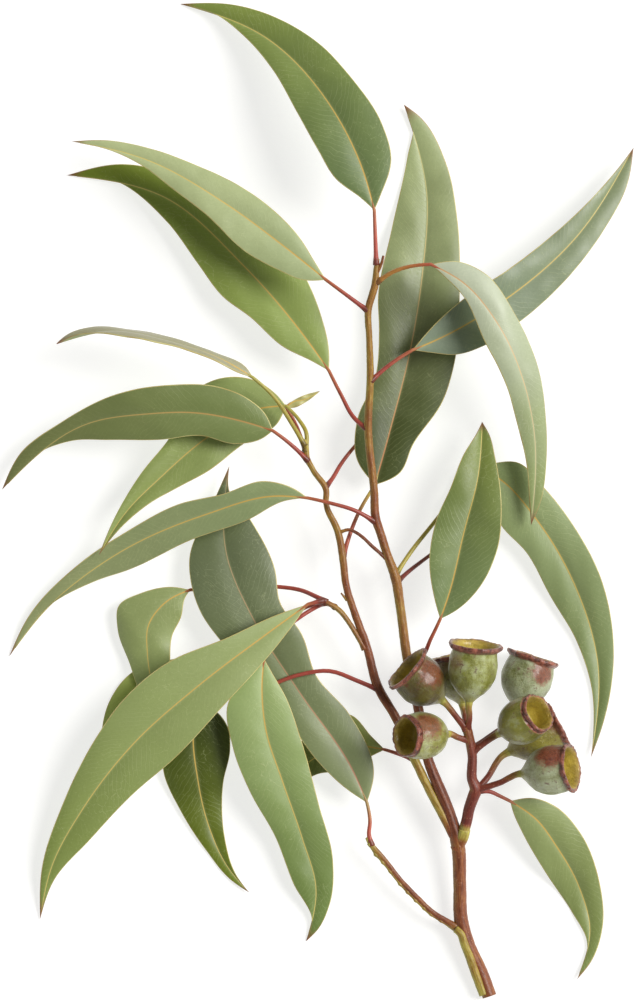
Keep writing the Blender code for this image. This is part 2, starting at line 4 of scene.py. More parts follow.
import bpy
import numpy as np
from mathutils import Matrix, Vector


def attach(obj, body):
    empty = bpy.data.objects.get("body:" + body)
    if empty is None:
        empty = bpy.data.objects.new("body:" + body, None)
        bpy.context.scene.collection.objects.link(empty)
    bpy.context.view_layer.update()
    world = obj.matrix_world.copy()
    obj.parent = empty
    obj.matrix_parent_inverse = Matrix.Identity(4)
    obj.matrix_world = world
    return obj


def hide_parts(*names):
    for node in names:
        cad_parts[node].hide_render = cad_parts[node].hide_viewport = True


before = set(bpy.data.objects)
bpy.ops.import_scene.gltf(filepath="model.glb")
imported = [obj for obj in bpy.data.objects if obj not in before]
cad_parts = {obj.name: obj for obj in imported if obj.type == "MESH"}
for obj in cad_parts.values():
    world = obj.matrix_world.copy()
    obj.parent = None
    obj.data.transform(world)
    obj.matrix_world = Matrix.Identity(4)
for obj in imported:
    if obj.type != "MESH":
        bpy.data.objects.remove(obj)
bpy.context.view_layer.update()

print("cad model:", len(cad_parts), "nodes")

# A cut eucalyptus sprig with gum nuts. Plan points are on a tracing grid, x to the right and y down from
# the shoot tip. Heights above the table, radii and every size of a pattern are in millimetres.
tracing = {"step": 0.36, "centreX": 317.5, "centreY": 500.6}


def place(x, y, height=0.0):
    step = tracing["step"]
    return np.array(((x - tracing["centreX"]) * step, (tracing["centreY"] - y) * step, height))


def along(points, shares, steps=12):  # points at these shares of the length of a smooth curve
    points = np.array(points, float)
    chords = np.linalg.norm(np.diff(points, axis=0), axis=1)
    slopes = np.diff(points, axis=0) / chords[:, None]
    tangents = np.empty_like(points)
    near, far = chords[:-1, None], chords[1:, None]
    tangents[1:-1] = (slopes[:-1] * far + slopes[1:] * near) / (near + far)
    tangents[0], tangents[-1] = slopes[0], slopes[-1]
    if len(points) > 2:
        tangents[0] = 1.5 * slopes[0] - 0.5 * tangents[1]
        tangents[-1] = 1.5 * slopes[-1] - 0.5 * tangents[-2]
    t = (np.arange(1, steps + 1) / steps)[None, :, None]
    start, end = points[:-1, None], points[1:, None]
    leave, arrive = (chords[:, None] * tangents[:-1])[:, None], (chords[:, None] * tangents[1:])[:, None]
    dense = (2 * t**3 - 3 * t**2 + 1) * start + (t**3 - 2 * t**2 + t) * leave
    dense = dense + (3 * t**2 - 2 * t**3) * end + (t**3 - t**2) * arrive
    dense = np.vstack((points[:1], dense.reshape(-1, points.shape[1])))
    lengths = np.concatenate(([0], np.cumsum(np.linalg.norm(np.diff(dense[:, :3], axis=0), axis=1))))
    return np.array([np.interp(np.asarray(shares) * lengths[-1], lengths, column) for column in dense.T]).T


def lengthsOf(path):
    return np.concatenate(([0], np.cumsum(np.linalg.norm(np.diff(path, axis=0), axis=1))))


def unit(vectors):
    return vectors / np.maximum(np.linalg.norm(vectors, axis=-1, keepdims=True), 1e-9)


def crossFrames(path, across):  # the side and up directions along a path, carried with no twist
    sides = []
    for ahead in unit(np.gradient(path, axis=0)):
        across = unit(across - ahead * np.dot(across, ahead))
        sides.append(across)
    sides = np.array(sides)
    return sides, np.cross(sides, unit(np.gradient(path, axis=0)))


def smoothStep(values, low, high):
    t = np.clip((values - low) / (high - low), 0, 1)
    return t * t * (3 - 2 * t)


def ripples(seed, points, sizes, count=5):  # gentle random waves between -1 and 1
    draw = np.random.default_rng(seed)
    total = 0
    for size in np.geomspace(*sizes, count):
        way = unit(draw.normal(size=points.shape[-1]))
        total = total + np.sin(math.tau * points @ way / size + draw.uniform(0, math.tau))
    return total / count


def pairs(shape, first, second):  # two values that vary along or round a skin, at each of its points
    return np.stack((np.broadcast_to(first, shape), np.broadcast_to(second, shape)), axis=-1)


# Every part of a piece is a skin through rings of points. share holds how far along and across a point is,
# real holds the same in millimetres, and ring is where it lies round a stem.
def skin(rings, share, real, ring, slots, tip=None, endSlot=None):
    count, sides = rings.shape[:2]
    index = np.arange(count * sides).reshape(count, sides)
    turned = np.roll(index, -1, axis=1)
    faces = np.stack((index[:-1], turned[:-1], turned[1:], index[1:]), axis=-1).reshape(-1, 4).tolist()
    used = list(slots) * (count - 1)
    maps = [values.reshape(-1, 2) for values in (share, real, ring)]
    points = rings.reshape(-1, 3)
    endSlot = slots[0] if endSlot is None else endSlot
    faces.append(index[0][::-1].tolist())
    used.append(endSlot)
    if tip is not None:
        points = np.vstack((points, tip))
        maps = [np.vstack((values, values[-sides:].mean(axis=0))) for values in maps]
        faces += [[int(index[-1][i]), int(turned[-1][i]), len(points) - 1] for i in range(sides)]
        used += list(slots)
    else:
        faces.append(index[-1].tolist())
        used.append(endSlot)
    return {"points": points, "faces": faces, "slots": used, "maps": maps}


def tube(path, radii, sides, across):  # rings round a path, the ways out from it and the ring map
    turns = math.tau * (np.arange(sides) + 0.5) / sides
    beside, above = crossFrames(path, across)
    around = np.cos(turns)[None, :, None] * beside[:, None] + np.sin(turns)[None, :, None] * above[:, None]
    rings = path[:, None] + radii[:, None, None] * around
    ring = pairs(rings.shape[:2], radii[:, None] * np.cos(turns), radii[:, None] * np.sin(turns))
    return rings, around, ring, turns


def makePiece(node, parts, materials):  # joins the parts into one piece that stands for a node
    words = node.split("_")
    name = words[0] + "".join(word.capitalize() for word in words[1:])
    faces, slots, start = [], [], 0
    for part in parts:
        faces += [[corner + start for corner in face] for face in part["faces"]]
        slots += part["slots"]
        start += len(part["points"])
    mesh = bpy.data.meshes.new(name)
    points = np.vstack([part["points"] for part in parts])
    points[:, 2] = np.maximum(points[:, 2], 0)  # what would lie lower is pressed flat on the table
    mesh.from_pydata((points / 1000).tolist(), [], faces)
    corners = np.empty(len(mesh.loops), np.int32)
    mesh.loops.foreach_get("vertex_index", corners)
    for number, title in enumerate(("share", "real", "ring")):
        values = np.vstack([part["maps"][number] for part in parts])
        layer = mesh.uv_layers.new(name=title)
        layer.data.foreach_set("uv", values[corners].astype(np.float32).ravel())
    mesh.polygons.foreach_set("material_index", slots)
    mesh.shade_smooth()
    for surface in materials:
        mesh.materials.append(surface)
    mesh.validate()
    piece = bpy.data.objects.new(name, mesh)
    bpy.context.scene.collection.objects.link(piece)
    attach(piece, "root")
    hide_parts(node)


def colour(code):  # an sRGB hex value turned to linear
    parts = [int(code[i : i + 2], 16) / 255 for i in (1, 3, 5)]
    return (*[p / 12.92 if p <= 0.04045 else ((p + 0.055) / 1.055) ** 2.4 for p in parts], 1)


def addNode(tree, kind, *values, **settings):
    # kind may name an operation too. Values go to the inputs in order. Settings in small letters are the
    # node's own, and the others name inputs.
    kind, *operation = kind.split()
    node = tree.nodes.new("ShaderNode" + kind)
    if operation:
        node.operation = operation[0]
    if kind == "Mix":
        node.data_type = "RGBA"  # each mix here is one of colours
    for key in [key for key in settings if key[0].islower()]:
        setattr(node, key, settings.pop(key))
    sockets = [socket for socket in node.inputs if socket.enabled]
    named = [(node.inputs[key.replace("_", " ")], value) for key, value in settings.items()]
    for socket, value in [*zip(sockets, values), *named]:
        if isinstance(value, bpy.types.Node):
            value = next(output for output in value.outputs if output.enabled)
        if isinstance(value, str):
            value = colour(value)
        if isinstance(value, bpy.types.NodeSocket):
            tree.links.new(value, socket)
        elif value is not None:
            socket.default_value = value
    return node


def newSurface(name, roughness, ior=1.45, **settings):
    surface = bpy.data.materials.new(name)
    surface.use_nodes = True
    shader = surface.node_tree.nodes["Principled BSDF"]
    shader.inputs["Roughness"].default_value = roughness
    shader.inputs["IOR"].default_value = ior
    for key, value in settings.items():
        shader.inputs[key.replace("_", " ")].default_value = value
    return surface, partial(addNode, surface.node_tree), shader


def useIn(shader, **results):  # sends the last node of a chain to the shader's own socket
    for key, node in results.items():
        output = next(output for output in node.outputs if output.enabled)
        shader.id_data.links.new(output, shader.inputs[key.replace("_", " ")])


def readMap(add, name):  # the two values that a skin carries under this name
    return add("SeparateXYZ", add("UVMap", uv_map=name)).outputs


def streaksAlong(add, real, ring, finish):  # where to look up a pattern that is drawn out along a skin
    run = add("Math DIVIDE", real[0], finish["streakLength"])
    return add("CombineXYZ", run, *[add("Math DIVIDE", ring[i], finish["streakWidth"]) for i in (0, 1)])


softly = {"interpolation_type": "SMOOTHSTEP"}

# A eucalyptus leaf is tough and waxy: an even blade about 0.4 mm thick with a raised midrib underneath, fine
# side veins and a thickened pale margin. The wax makes it blue-grey green, with a soft satin gloss.
bladeBuild = {
    "thickness": 0.42, "marginWidth": 0.27, "marginSwell": 1.25, "stations": 96, "columns": 23,
    "bulge": 0.07, "waveHeight": 0.5, "waveCount": 2.5, "waveStep": 0.38, "waveShift": 0.2,
    "ripple": 0.34, "rippleSizes": (9, 34), "groove": 0.1, "grooveWidth": 0.55,
    "stalkRadii": (0.85, 0.6), "stalkFlare": 0.4, "flareLength": 2.4, "ribRadii": (0.5, 0.1), "ribShow": 0.03,
    "stalkSides": 14, "stalkSteps": 30, "ribSteps": 80, "seed": 40, "crowding": 1.2, "marginMost": 0.3,
    "marginTurn": (0.3, 0.8), "rippleFade": (0.5, 5), "ribEnd": 0.97, "ribTaper": 1.4, "ribNeck": 0.02,
    "sinkBy": 0.05, "liftsAt": (0.2, 0.5, 0.8),
}
# Leaves. stalk runs from the middle of the stem to the base of the blade, and rib from there towards tip.
# left and right are the margins in plan, seen from the base. lifts are how far the left and the right
# margin stand over the rib, in mm, at three places along the blade. face is the blade's colour near its base
# and near its tip, vein that of the side veins and of the midrib near its base and its tip, and stalkTones
# that of the stalk at the stem, at the blade and as midrib. On a few leaves face also holds painted shade or
# painted light, as noted at those leaves.
leaves = {
    "leaf_tip": {
        "stalk": ((376, 266, 27), (375, 240, 28.5), (374, 212, 29)),
        "rib": ((363, 173, 28), (332, 110, 24), (265, 37, 11)),
        "tip": (180, 2, 0.1),
        "left": ((362, 201), (335, 180), (318, 152), (296, 112), (273, 71), (245, 37), (213, 12)),
        "right": ((380, 198), (391, 162), (382, 126), (352, 80), (320, 45), (286, 22), (236, 4)),
        "lifts": ((1.5, 2.5, 1), (1, 1, 0)),
        "face": ("#687a4a", "#7b8a3e"), "stalkTones": ("#b05448", "#a8643c", "#c3b274"),
    },
    "leaf_upper_left_front": {
        "stalk": ((368, 312, 25.8), (345, 295, 27), (326, 281, 27)),
        "rib": ((286, 249, 26), (226, 205, 24), (150, 162, 21)),
        "tip": (72, 142, 17),
        "left": ((302, 281), (278, 271), (250, 256), (204, 214), (173, 190), (143, 167), (110, 151)),
        "right": ((315, 263), (300, 239), (270, 208), (235, 184), (194, 165), (153, 150), (108, 141)),
        "lifts": ((1, 1.5, 0.5), (-1, -2, -1)),
        "face": ("#9fab7c", "#a9b281"),
    },
    "leaf_upper_left_back": {
        "stalk": ((368, 430, 21), (354, 418, 19.5), (341, 395, 17.5), (329, 371, 16)),
        "rib": ((304, 336, 14), (245, 267, 9), (163, 196, 5)),
        "tip": (66, 174, 0.1),
        "left": ((311, 361), (283, 347), (251, 318), (222, 296), (198, 264), (167, 222), (112, 179)),
        "right": ((329, 350), (321, 315), (306, 278), (277, 236), (235, 203), (190, 180), (120, 163)),
        "lifts": ((1.5, 1.5, 0.5), (-1, -1, 0)),
        # Painted shade: the tip tone is made dark to stand for the deep shadow over the leaf's far part.
        "face": ("#8c9d55", "#728222"),
    },
    "leaf_upper_back": {
        "stalk": ((343, 558, 16.4), (348, 540, 14), (359, 512, 11), (375, 485, 10)),
        "rib": ((391, 427, 9.5), (411, 347, 8), (423, 270, 5.5), (427, 190, 0.5)),
        "tip": (404, 103, 2),
        "left": ((357, 460), (357, 420), (375, 378), (379, 330), (378, 297), (391, 232), (408, 154),
                 (413, 120)),
        "right": ((400, 473), (413, 445), (443, 401), (456, 356), (460, 292), (458, 220), (447, 163),
                  (422, 117)),
        "lifts": ((1.5, 2, 0.5), (2, 1.5, 0.5)),
        # Here face is much darker towards the base than towards the tip.
        "face": ("#475126", "#9da878"), "vein": ("#a9b07c", "#bd8258", "#c8c084"),
        "stalkTones": ("#a0503c", "#b3a850", "#bd8258"),
    },
    "leaf_upper_right": {
        "stalk": ((370, 382, 23.4), (391, 364, 22.5), (412, 350.5, 21.5)),
        "rib": ((441, 338, 20.5), (506, 299, 18), (571, 243, 14)),
        "tip": (634, 147, 7),
        "left": ((434, 325), (465, 298), (506, 271), (549, 238), (584, 206), (619, 167)),
        "right": ((430, 353), (456, 355), (484, 346), (521, 321), (560, 286), (604, 230), (628, 183)),
        "lifts": ((2, 2, 1), (-1, -1, 0)),
        "face": ("#7f8d77", "#828d68"),
    },
    "leaf_drooping": {
        "stalk": ((376, 284, 26.7), (393, 273, 29.5), (409, 268, 31.5), (430, 266, 33)),
        "rib": ((463, 285, 34.5), (497, 326, 34), (521, 378, 29), (533, 430, 23)),
        "tip": (531, 525, 13),
        "left": ((456, 263), (484, 275), (513, 314), (534, 358), (545, 415), (546, 460), (541, 500)),
        "right": ((441, 276), (463, 299), (482, 340), (503, 381), (517, 427), (526, 465), (529, 502)),
        "lifts": ((-2, -3, -1.5), (0, 1, 0.5)),
        # The pale tones here are partly the leaf's own waxy bloom and partly painted glare.
        "face": ("#b3bba2", "#87935d"), "vein": ("#d0d4b4", "#c79a6c", "#c9bd90"),
        "stalkTones": ("#b07a3c", "#a84c3c", "#c79a6c"),
    },
    "leaf_right_back": {
        "stalk": ((395, 576, 16.4), (410, 553, 13.5), (433, 524, 10), (478, 467, 9)),
        "rib": ((500, 479, 9), (538, 521, 7.5), (575, 584, 4), (599, 665, 0.5)),
        "tip": (592, 758, 2),
        "left": ((494, 463), (517, 462), (544, 487), (573, 524), (602, 579), (615, 652), (605, 722)),
        "right": ((485, 487), (501, 525), (527, 553), (550, 595), (578, 643), (593, 692), (594, 737)),
        "lifts": ((1, 1.5, 0.5), (-1, 0, 0.5)),
        "face": ("#92a170", "#758450"), "stalkTones": ("#a39540", "#a39c4c", "#b9ab66"),
    },
    "leaf_right_front": {
        "stalk": ((408, 662, 13.2), (420, 658, 12.6), (431, 638, 14.5), (440, 619, 16)),
        "rib": ((449, 593, 17), (463, 535, 18), (478, 475, 17)),
        "tip": (482, 422, 14),
        "left": ((434, 598), (429, 560), (436, 520), (450, 488), (463, 455), (477, 432)),
        "right": ((458, 609), (478, 589), (497, 549), (501, 505), (495, 458), (489, 434)),
        "lifts": ((2, 1, 2), (1, 3, 1)),
        "face": ("#718251", "#727f3a"),
    },
    "leaf_edge_on": {
        "stalk": ((305, 446, 18.7), (292, 424, 21), (272, 395, 24.5), (253, 378, 26)),
        "rib": ((215, 357, 27), (172, 343, 27), (115, 332, 24)),
        "tip": (57, 344, 17),
        "left": ((240, 374), (215, 361), (172, 347), (130, 338), (90, 334), (69, 338)),
        "right": ((248, 370), (215, 353), (172, 339), (130, 330), (90, 328), (68, 335)),
        "lifts": ((4, 7, 4), (-4, -8, -5)),
        "face": ("#9e9b7e", "#8e8a68"), "stalkTones": ("#a39540", "#a39c4c", "#b9ab66"),
    },
    "leaf_left_back": {
        "stalk": ((305, 452, 18.3), (306, 432, 17.2), (299, 420, 16), (286, 406, 15)),
        "rib": ((258, 409, 14), (208, 437, 13), (161, 477, 12.5), (128, 510, 13)),
        "tip": (99, 555, 13.5),
        "left": ((278, 423), (245, 443), (207, 472), (179, 487), (149, 504), (119, 530)),
        "right": ((276, 394), (251, 379), (221, 378), (198, 388), (168, 440), (142, 472), (112, 523)),
        "lifts": ((0, 1, 1), (-1, 0, 1)),
        "face": ("#8a985b", "#85934f"), "stalkTones": ("#a39540", "#a39c4c", "#b9ab66"),
    },
    "leaf_left_front": {
        "stalk": ((308, 461, 18), (297, 450, 20), (284, 439, 21.2), (273, 431, 21.8)),
        "rib": ((248, 423, 22), (195, 413, 22), (149, 414, 21), (90, 423, 16)),
        "tip": (1, 490, 4),
        "left": ((262, 439), (234, 444), (202, 436), (161, 440), (110, 440), (72, 441), (28, 459)),
        "right": ((266, 415), (245, 397), (218, 387), (174, 385), (115, 395), (60, 423), (20, 453)),
        "lifts": ((-1.5, -1, -0.5), (1, 2.5, 1)),
        "face": ("#74824b", "#6f7645"), "vein": ("#9aa068", "#b78a4e", "#b5a564"),
    },
    "leaf_left_small": {
        "stalk": ((306, 456, 17.8), (302, 441, 14.5), (296, 425, 12.5), (286, 407, 12)),
        "rib": ((293, 402, 12), (306, 399, 12)),
        "tip": (320, 391, 12),
        "left": ((291, 402), (302, 396)),
        "right": ((292, 408), (306, 402)),
        "lifts": ((0, 0, 0), (0, 0, 0)),
        "face": ("#b4af71", "#b4af71"),
    },
    "leaf_left_long": {
        "stalk": ((375, 522, 18.4), (356, 511, 21), (330, 503, 21.8), (308, 498, 21.8)),
        "rib": ((275, 496, 21.5), (207, 514, 17), (115, 555, 9), (48, 607, 4)),
        "tip": (8, 657, 0.1),
        "left": ((285, 501), (248, 520), (191, 540), (131, 569), (96, 581), (46, 608), (18, 639)),
        "right": ((293, 488), (264, 481), (223, 494), (179, 504), (129, 530), (76, 566), (28, 616)),
        "lifts": ((-1, -1.5, 0), (1.5, 1.5, 1)),
        "face": ("#8a9869", "#8a9163"),
    },
    "leaf_low_twig": {
        "stalk": ((372, 846, 9.3), (369, 835, 9.8), (370, 822, 10), (367, 803, 10)),
        "rib": ((352, 769, 10), (300, 693, 10.5), (256, 624, 12), (226, 552, 9)),
        "tip": (229, 466, 5),
        "left": ((345, 788), (318, 762), (290, 724), (262, 690), (227, 649), (198, 607), (189, 560),
                 (214, 500)),
        "right": ((374, 774), (350, 715), (316, 675), (302, 634), (280, 602), (275, 569), (252, 522),
                  (229, 490)),
        "lifts": ((0.5, -1, -1), (0, 0.5, 0.5)),
        "face": ("#808b60", "#5f6949"), "vein": ("#a9b084", "#bb8468", "#b09a74"),
        "stalkTones": ("#b25644", "#a08a50", "#bb8468"),
    },
    "leaf_small_curled": {
        "stalk": ((327, 602, 15.9), (315, 596, 14), (300, 590, 10), (279, 587, 8), (230, 588, 7),
                  (190, 590, 7)),
        "rib": ((166, 602, 7.5), (148, 626, 7), (147, 652, 6.2), (156, 700, 4.3)),
        "tip": (170, 738, 3),
        "left": ((185, 598), (181, 617), (172, 636), (170, 661), (172, 690), (174, 715)),
        "right": ((172, 587), (141, 593), (118, 606), (117, 629), (129, 664), (140, 695), (156, 722)),
        "lifts": ((-1, -1, 0), (-1.5, -2, -0.5)),
        "face": ("#8a965f", "#8c995f"),
    },
    "leaf_big_front": {
        "stalk": ((323, 600.5, 16), (316, 602, 17), (308, 604, 17.5)),
        "rib": ((265, 635, 19.5), (199, 685, 20), (133, 744, 16.5), (82, 810, 11), (52, 865, 6)),
        "tip": (39, 921, 0.1),
        "left": ((293, 625), (260, 666), (224, 705), (179, 754), (130, 797), (89, 841), (53, 882)),
        "right": ((278, 614), (230, 636), (163, 665), (122, 701), (94, 741), (63, 803), (41, 870)),
        "lifts": ((0, -1, -1), (1.5, 2.5, 1)),
        "face": ("#96a36a", "#7a8944"),
    },
    "leaf_dark_left": {
        "stalk": ((335, 607, 15.8), (328, 604, 11.5), (312, 605, 8), (270, 632, 4.2), (225, 650, 2.6),
                  (186, 657, 2.4)),
        "rib": ((163, 672, 1.8), (138, 707, 0.6), (119, 750, 0.5)),
        "tip": (106, 795, 0.5),
        "left": ((178, 679), (162, 718), (140, 757)),
        "right": ((166, 661), (131, 673), (108, 703), (100, 740)),
        "lifts": ((0, 0, 0), (0.5, 0.5, 0)),
        # Painted light: this face is made much paler than the leaf's green to make up for the shade of the
        # leaves above it.
        "face": ("#aebe64", "#aebe64"),
    },
    "leaf_dark_low": {
        "stalk": ((379, 690, 13.1), (358, 681, 13.6), (330, 671, 13.4), (298, 675, 13.3), (262, 688, 12.2),
                  (222, 693, 10.5), (197, 706, 8.5)),
        "rib": ((193, 739, 6), (197, 777, 4), (208, 826, 1), (226, 866, 0.5)),
        "tip": (249, 894, 1.2),
        "left": ((212, 709), (228, 728), (230, 750), (223, 784), (224, 835), (236, 876)),
        "right": ((181, 714), (163, 742), (163, 773), (179, 810), (205, 851), (230, 881)),
        "lifts": ((0.5, 0.5, 0.5), (-1, -0.5, 0)),
        # Painted shade: the very dark base tone stands for the shade over the leaf's near part.
        "face": ("#3c470c", "#6c7a20"),
    },
    "leaf_hanging": {
        "stalk": ((326, 602.5, 15.8), (320, 605, 13), (300, 617, 14), (276, 638, 15), (264, 658, 15.5)),
        "rib": ((262, 690, 15.3), (266, 730, 14), (282, 780, 11.5), (302, 838, 7), (316, 890, 4)),
        "tip": (306, 943, 0.1),
        "left": ((273, 674), (285, 695), (301, 739), (319, 805), (333, 860), (330, 905), (318, 931)),
        "right": ((250, 673), (228, 703), (233, 748), (250, 792), (275, 837), (293, 884), (312, 925)),
        "lifts": ((-0.5, 0, -0.5), (1, 1.5, 1)),
        "face": ("#94a76a", "#697d3e"),
    },
    "leaf_nut_stalk": {
        "stalk": ((477, 791, 15), (490, 791.5, 14.6), (500, 796, 13.8), (510, 801, 13)),
        "rib": ((536, 819, 10), (557, 847, 6), (580, 888, 0.7), (591, 930, 0.5)),
        "tip": (578, 981, 1.5),
        "left": ((533, 798), (555, 806), (580, 832), (600, 881), (604, 927), (593, 962)),
        "right": ((513, 812), (523, 834), (547, 875), (573, 914), (588, 944), (586, 966)),
        "lifts": ((1, 1.5, 0.5), (-1, -0.5, 0)),
        "face": ("#8a9660", "#7c8a4a"),
    },
    "leaf_behind_twig": {
        "stalk": ((415, 760, 12), (407, 757, 11), (395, 753, 9), (385, 750, 7.8)),
        "rib": ((367, 747, 6), (338, 748, 3.5), (306, 765, 1.6)),
        "tip": (277, 800, 1),
        "left": ((371, 757), (345, 772), (318, 775), (293, 790)),
        "right": ((372, 737), (350, 715), (322, 722), (297, 748), (282, 778)),
        "lifts": ((0, 0, 0), (0.5, 0.5, 0)),
        # Painted shade: the dark tip tone stands for the shadow that lies over this leaf.
        "face": ("#98a25c", "#4a5518"),
    },
    "leaf_hidden_upper": {
        "stalk": ((325, 488, 17), (332, 479, 14.5), (341, 464, 11), (355, 446, 7), (368, 432, 4.5)),
        "rib": ((388, 400, 3), (408, 350, 2.2), (420, 300, 1.2)),
        "tip": (428, 250, 0.8),
        "left": ((374, 412), (389, 370), (405, 315)),
        "right": ((388, 420), (412, 385), (427, 330), (430, 285)),
        "lifts": ((0, 0, 0), (0, 0, 0)),
        "face": ("#7f8b58", "#7f8b58"),
    },
    "leaf_hidden_middle": {
        "stalk": ((397, 582, 16), (408, 572, 12.5), (421, 562, 8.5), (433, 553, 5.5), (441, 546, 4)),
        "rib": ((455, 520, 2.5), (465, 492, 2)),
        "tip": (473, 458, 1.5),
        "left": ((441, 527), (449, 497), (462, 470)),
        "right": ((460, 535), (478, 508), (480, 480)),
        "lifts": ((0, 0, 0), (0, 0, 0)),
        "face": ("#7f8b58", "#7f8b58"), "stalkTones": ("#6e2c24", "#7a3a28", "#b9a262"),
    },
}


def bladeShape(number, leaf):  # the rib, its two margins and the blade's upward direction at each station
    build = bladeBuild
    base, tip = place(*leaf["stalk"][-1]), place(*leaf["tip"])
    count = build["stations"]
    stations = (1 - np.cos(math.pi * np.arange(1, count) / count)) / 2
    rib = along([base, *(place(*point) for point in leaf["rib"]), tip], stations)
    edges = []
    for side, margin, lifts in zip((-1, 1), ("left", "right"), leaf["lifts"]):
        plan = [base[:2], *(place(*point)[:2] for point in leaf[margin]), tip[:2]]
        lift = np.polyval(np.polyfit((0, *build["liftsAt"], 1), (0, *lifts, 0), 4), stations)
        phase = build["waveStep"] * number + build["waveShift"] * side
        wave = np.sin(math.tau * (build["waveCount"] * stations + phase)) * np.sin(math.pi * stations)
        edges.append(np.column_stack((along(plan, stations), rib[:, 2] + lift + build["waveHeight"] * wave)))
    up = unit(np.cross(edges[1] - edges[0], np.gradient(rib, axis=0)))
    return base, tip, stations, rib, edges, up


def leafParts(number, leaf):
    build = bladeBuild
    base, tip, stations, rib, edges, up = bladeShape(number, leaf)
    half = build["thickness"] / 2
    columns = np.linspace(-1, 1, build["columns"])
    columns = np.sign(columns) * np.abs(columns) ** build["crowding"]
    lengths = lengthsOf(np.vstack((base, rib)))[1:]
    rings, shares, reals = [], [], []
    for i, station in enumerate(stations):
        widths = [np.linalg.norm(edge[i] - rib[i]) for edge in edges]
        rim = [min(build["marginMost"], build["marginWidth"] / width) for width in widths]
        inner = [t * (1 - rim[int(t > 0)]) for t in columns]
        near, high = build["marginTurn"]
        turn = [(1 - near * rim[1], high), (1, 0), (1 - near * rim[1], -high)]
        back = [(-1 + near * rim[0], -high), (-1, 0), (-1 + near * rim[0], high)]
        swell = build["marginSwell"]
        loop = [(t, 1) for t in inner] + [(t, h * swell) for t, h in turn]
        loop += [(t, -1) for t in inner[::-1]] + [(t, h * swell) for t, h in back]
        t, h = np.array(loop).T
        out = np.abs(t)
        edge = np.where((t > 0)[:, None], edges[1][i], edges[0][i])
        width = np.where(t > 0, widths[1], widths[0])
        across = t * width
        points = rib[i] + out[:, None] * (edge - rib[i])
        arch = build["bulge"] * width * 4 * out * (1 - out)
        onBlade = np.column_stack((np.full(len(t), lengths[i]), across))
        soft = ripples(build["seed"] + number, onBlade, build["rippleSizes"])
        fade = np.sin(math.pi * station) * smoothStep(out * width, *build["rippleFade"])
        groove = build["groove"] * np.exp(-((across / build["grooveWidth"]) ** 2)) * (h > 0.5)
        rise = arch + build["ripple"] * soft * fade + h * half - groove
        rings.append(points + rise[:, None] * up[i])
        low = len(columns) + 3
        floor = np.maximum(rings[-1][low : low + len(columns), 2], 0)[::-1]
        rings[-1][: len(columns), 2] = np.maximum(rings[-1][: len(columns), 2], floor + half * 2 * up[i][2])
        shares.append(np.column_stack((np.full(len(t), station), t)))
        reals.append(onBlade)
    count = build["columns"]
    slots = [0] * (count - 1) + [2] * 4 + [1] * (count - 1) + [2] * 4
    rings, shares, reals = np.array(rings), np.array(shares), np.array(reals)
    blade = skin(rings, shares, reals, reals, slots, tip=tip)
    return [blade, leafStalk(leaf, stations, rib, edges, up)]


def leafStalk(leaf, stations, rib, edges, up):  # the stalk, which runs on under the blade as its midrib
    build = bladeBuild
    stalk = along([place(*point) for point in leaf["stalk"]], np.linspace(0, 1, build["stalkSteps"]))
    ribShares = np.linspace(0, build["ribEnd"], build["ribSteps"])[1:]
    centres = np.array([np.interp(ribShares, stations, column) for column in rib.T]).T
    lift = np.array([np.interp(ribShares, stations, column) for column in up.T]).T
    fromStem = lengthsOf(stalk)
    first, last = build["stalkRadii"]
    flare = build["stalkFlare"] * np.exp(-((fromStem / build["flareLength"]) ** 2))
    stalkRadii = np.linspace(first, last, build["stalkSteps"]) + flare
    high, low = build["ribRadii"]
    ribRadii = low + (high - low) * (1 - ribShares) ** build["ribTaper"]
    ribRadii = ribRadii + (last - high) * np.exp(-ribShares / build["ribNeck"])
    sunk = ribRadii - build["thickness"] / 2 + build["groove"] - build["ribShow"]
    sunk = sunk * smoothStep(ribShares, 0, build["sinkBy"])
    path = np.vstack((stalk, centres - lift * sunk[:, None]))
    radii = np.concatenate((stalkRadii, ribRadii))
    rings, _, ring, _ = tube(path, radii, build["stalkSides"], unit(edges[1][0] - edges[0][0]))
    shares = np.concatenate((np.linspace(0, 1, build["stalkSteps"]), 1 + ribShares))
    share = pairs(rings.shape[:2], shares[:, None], lengthsOf(path)[:, None])
    return skin(rings, share, share, ring, [3] * build["stalkSides"])


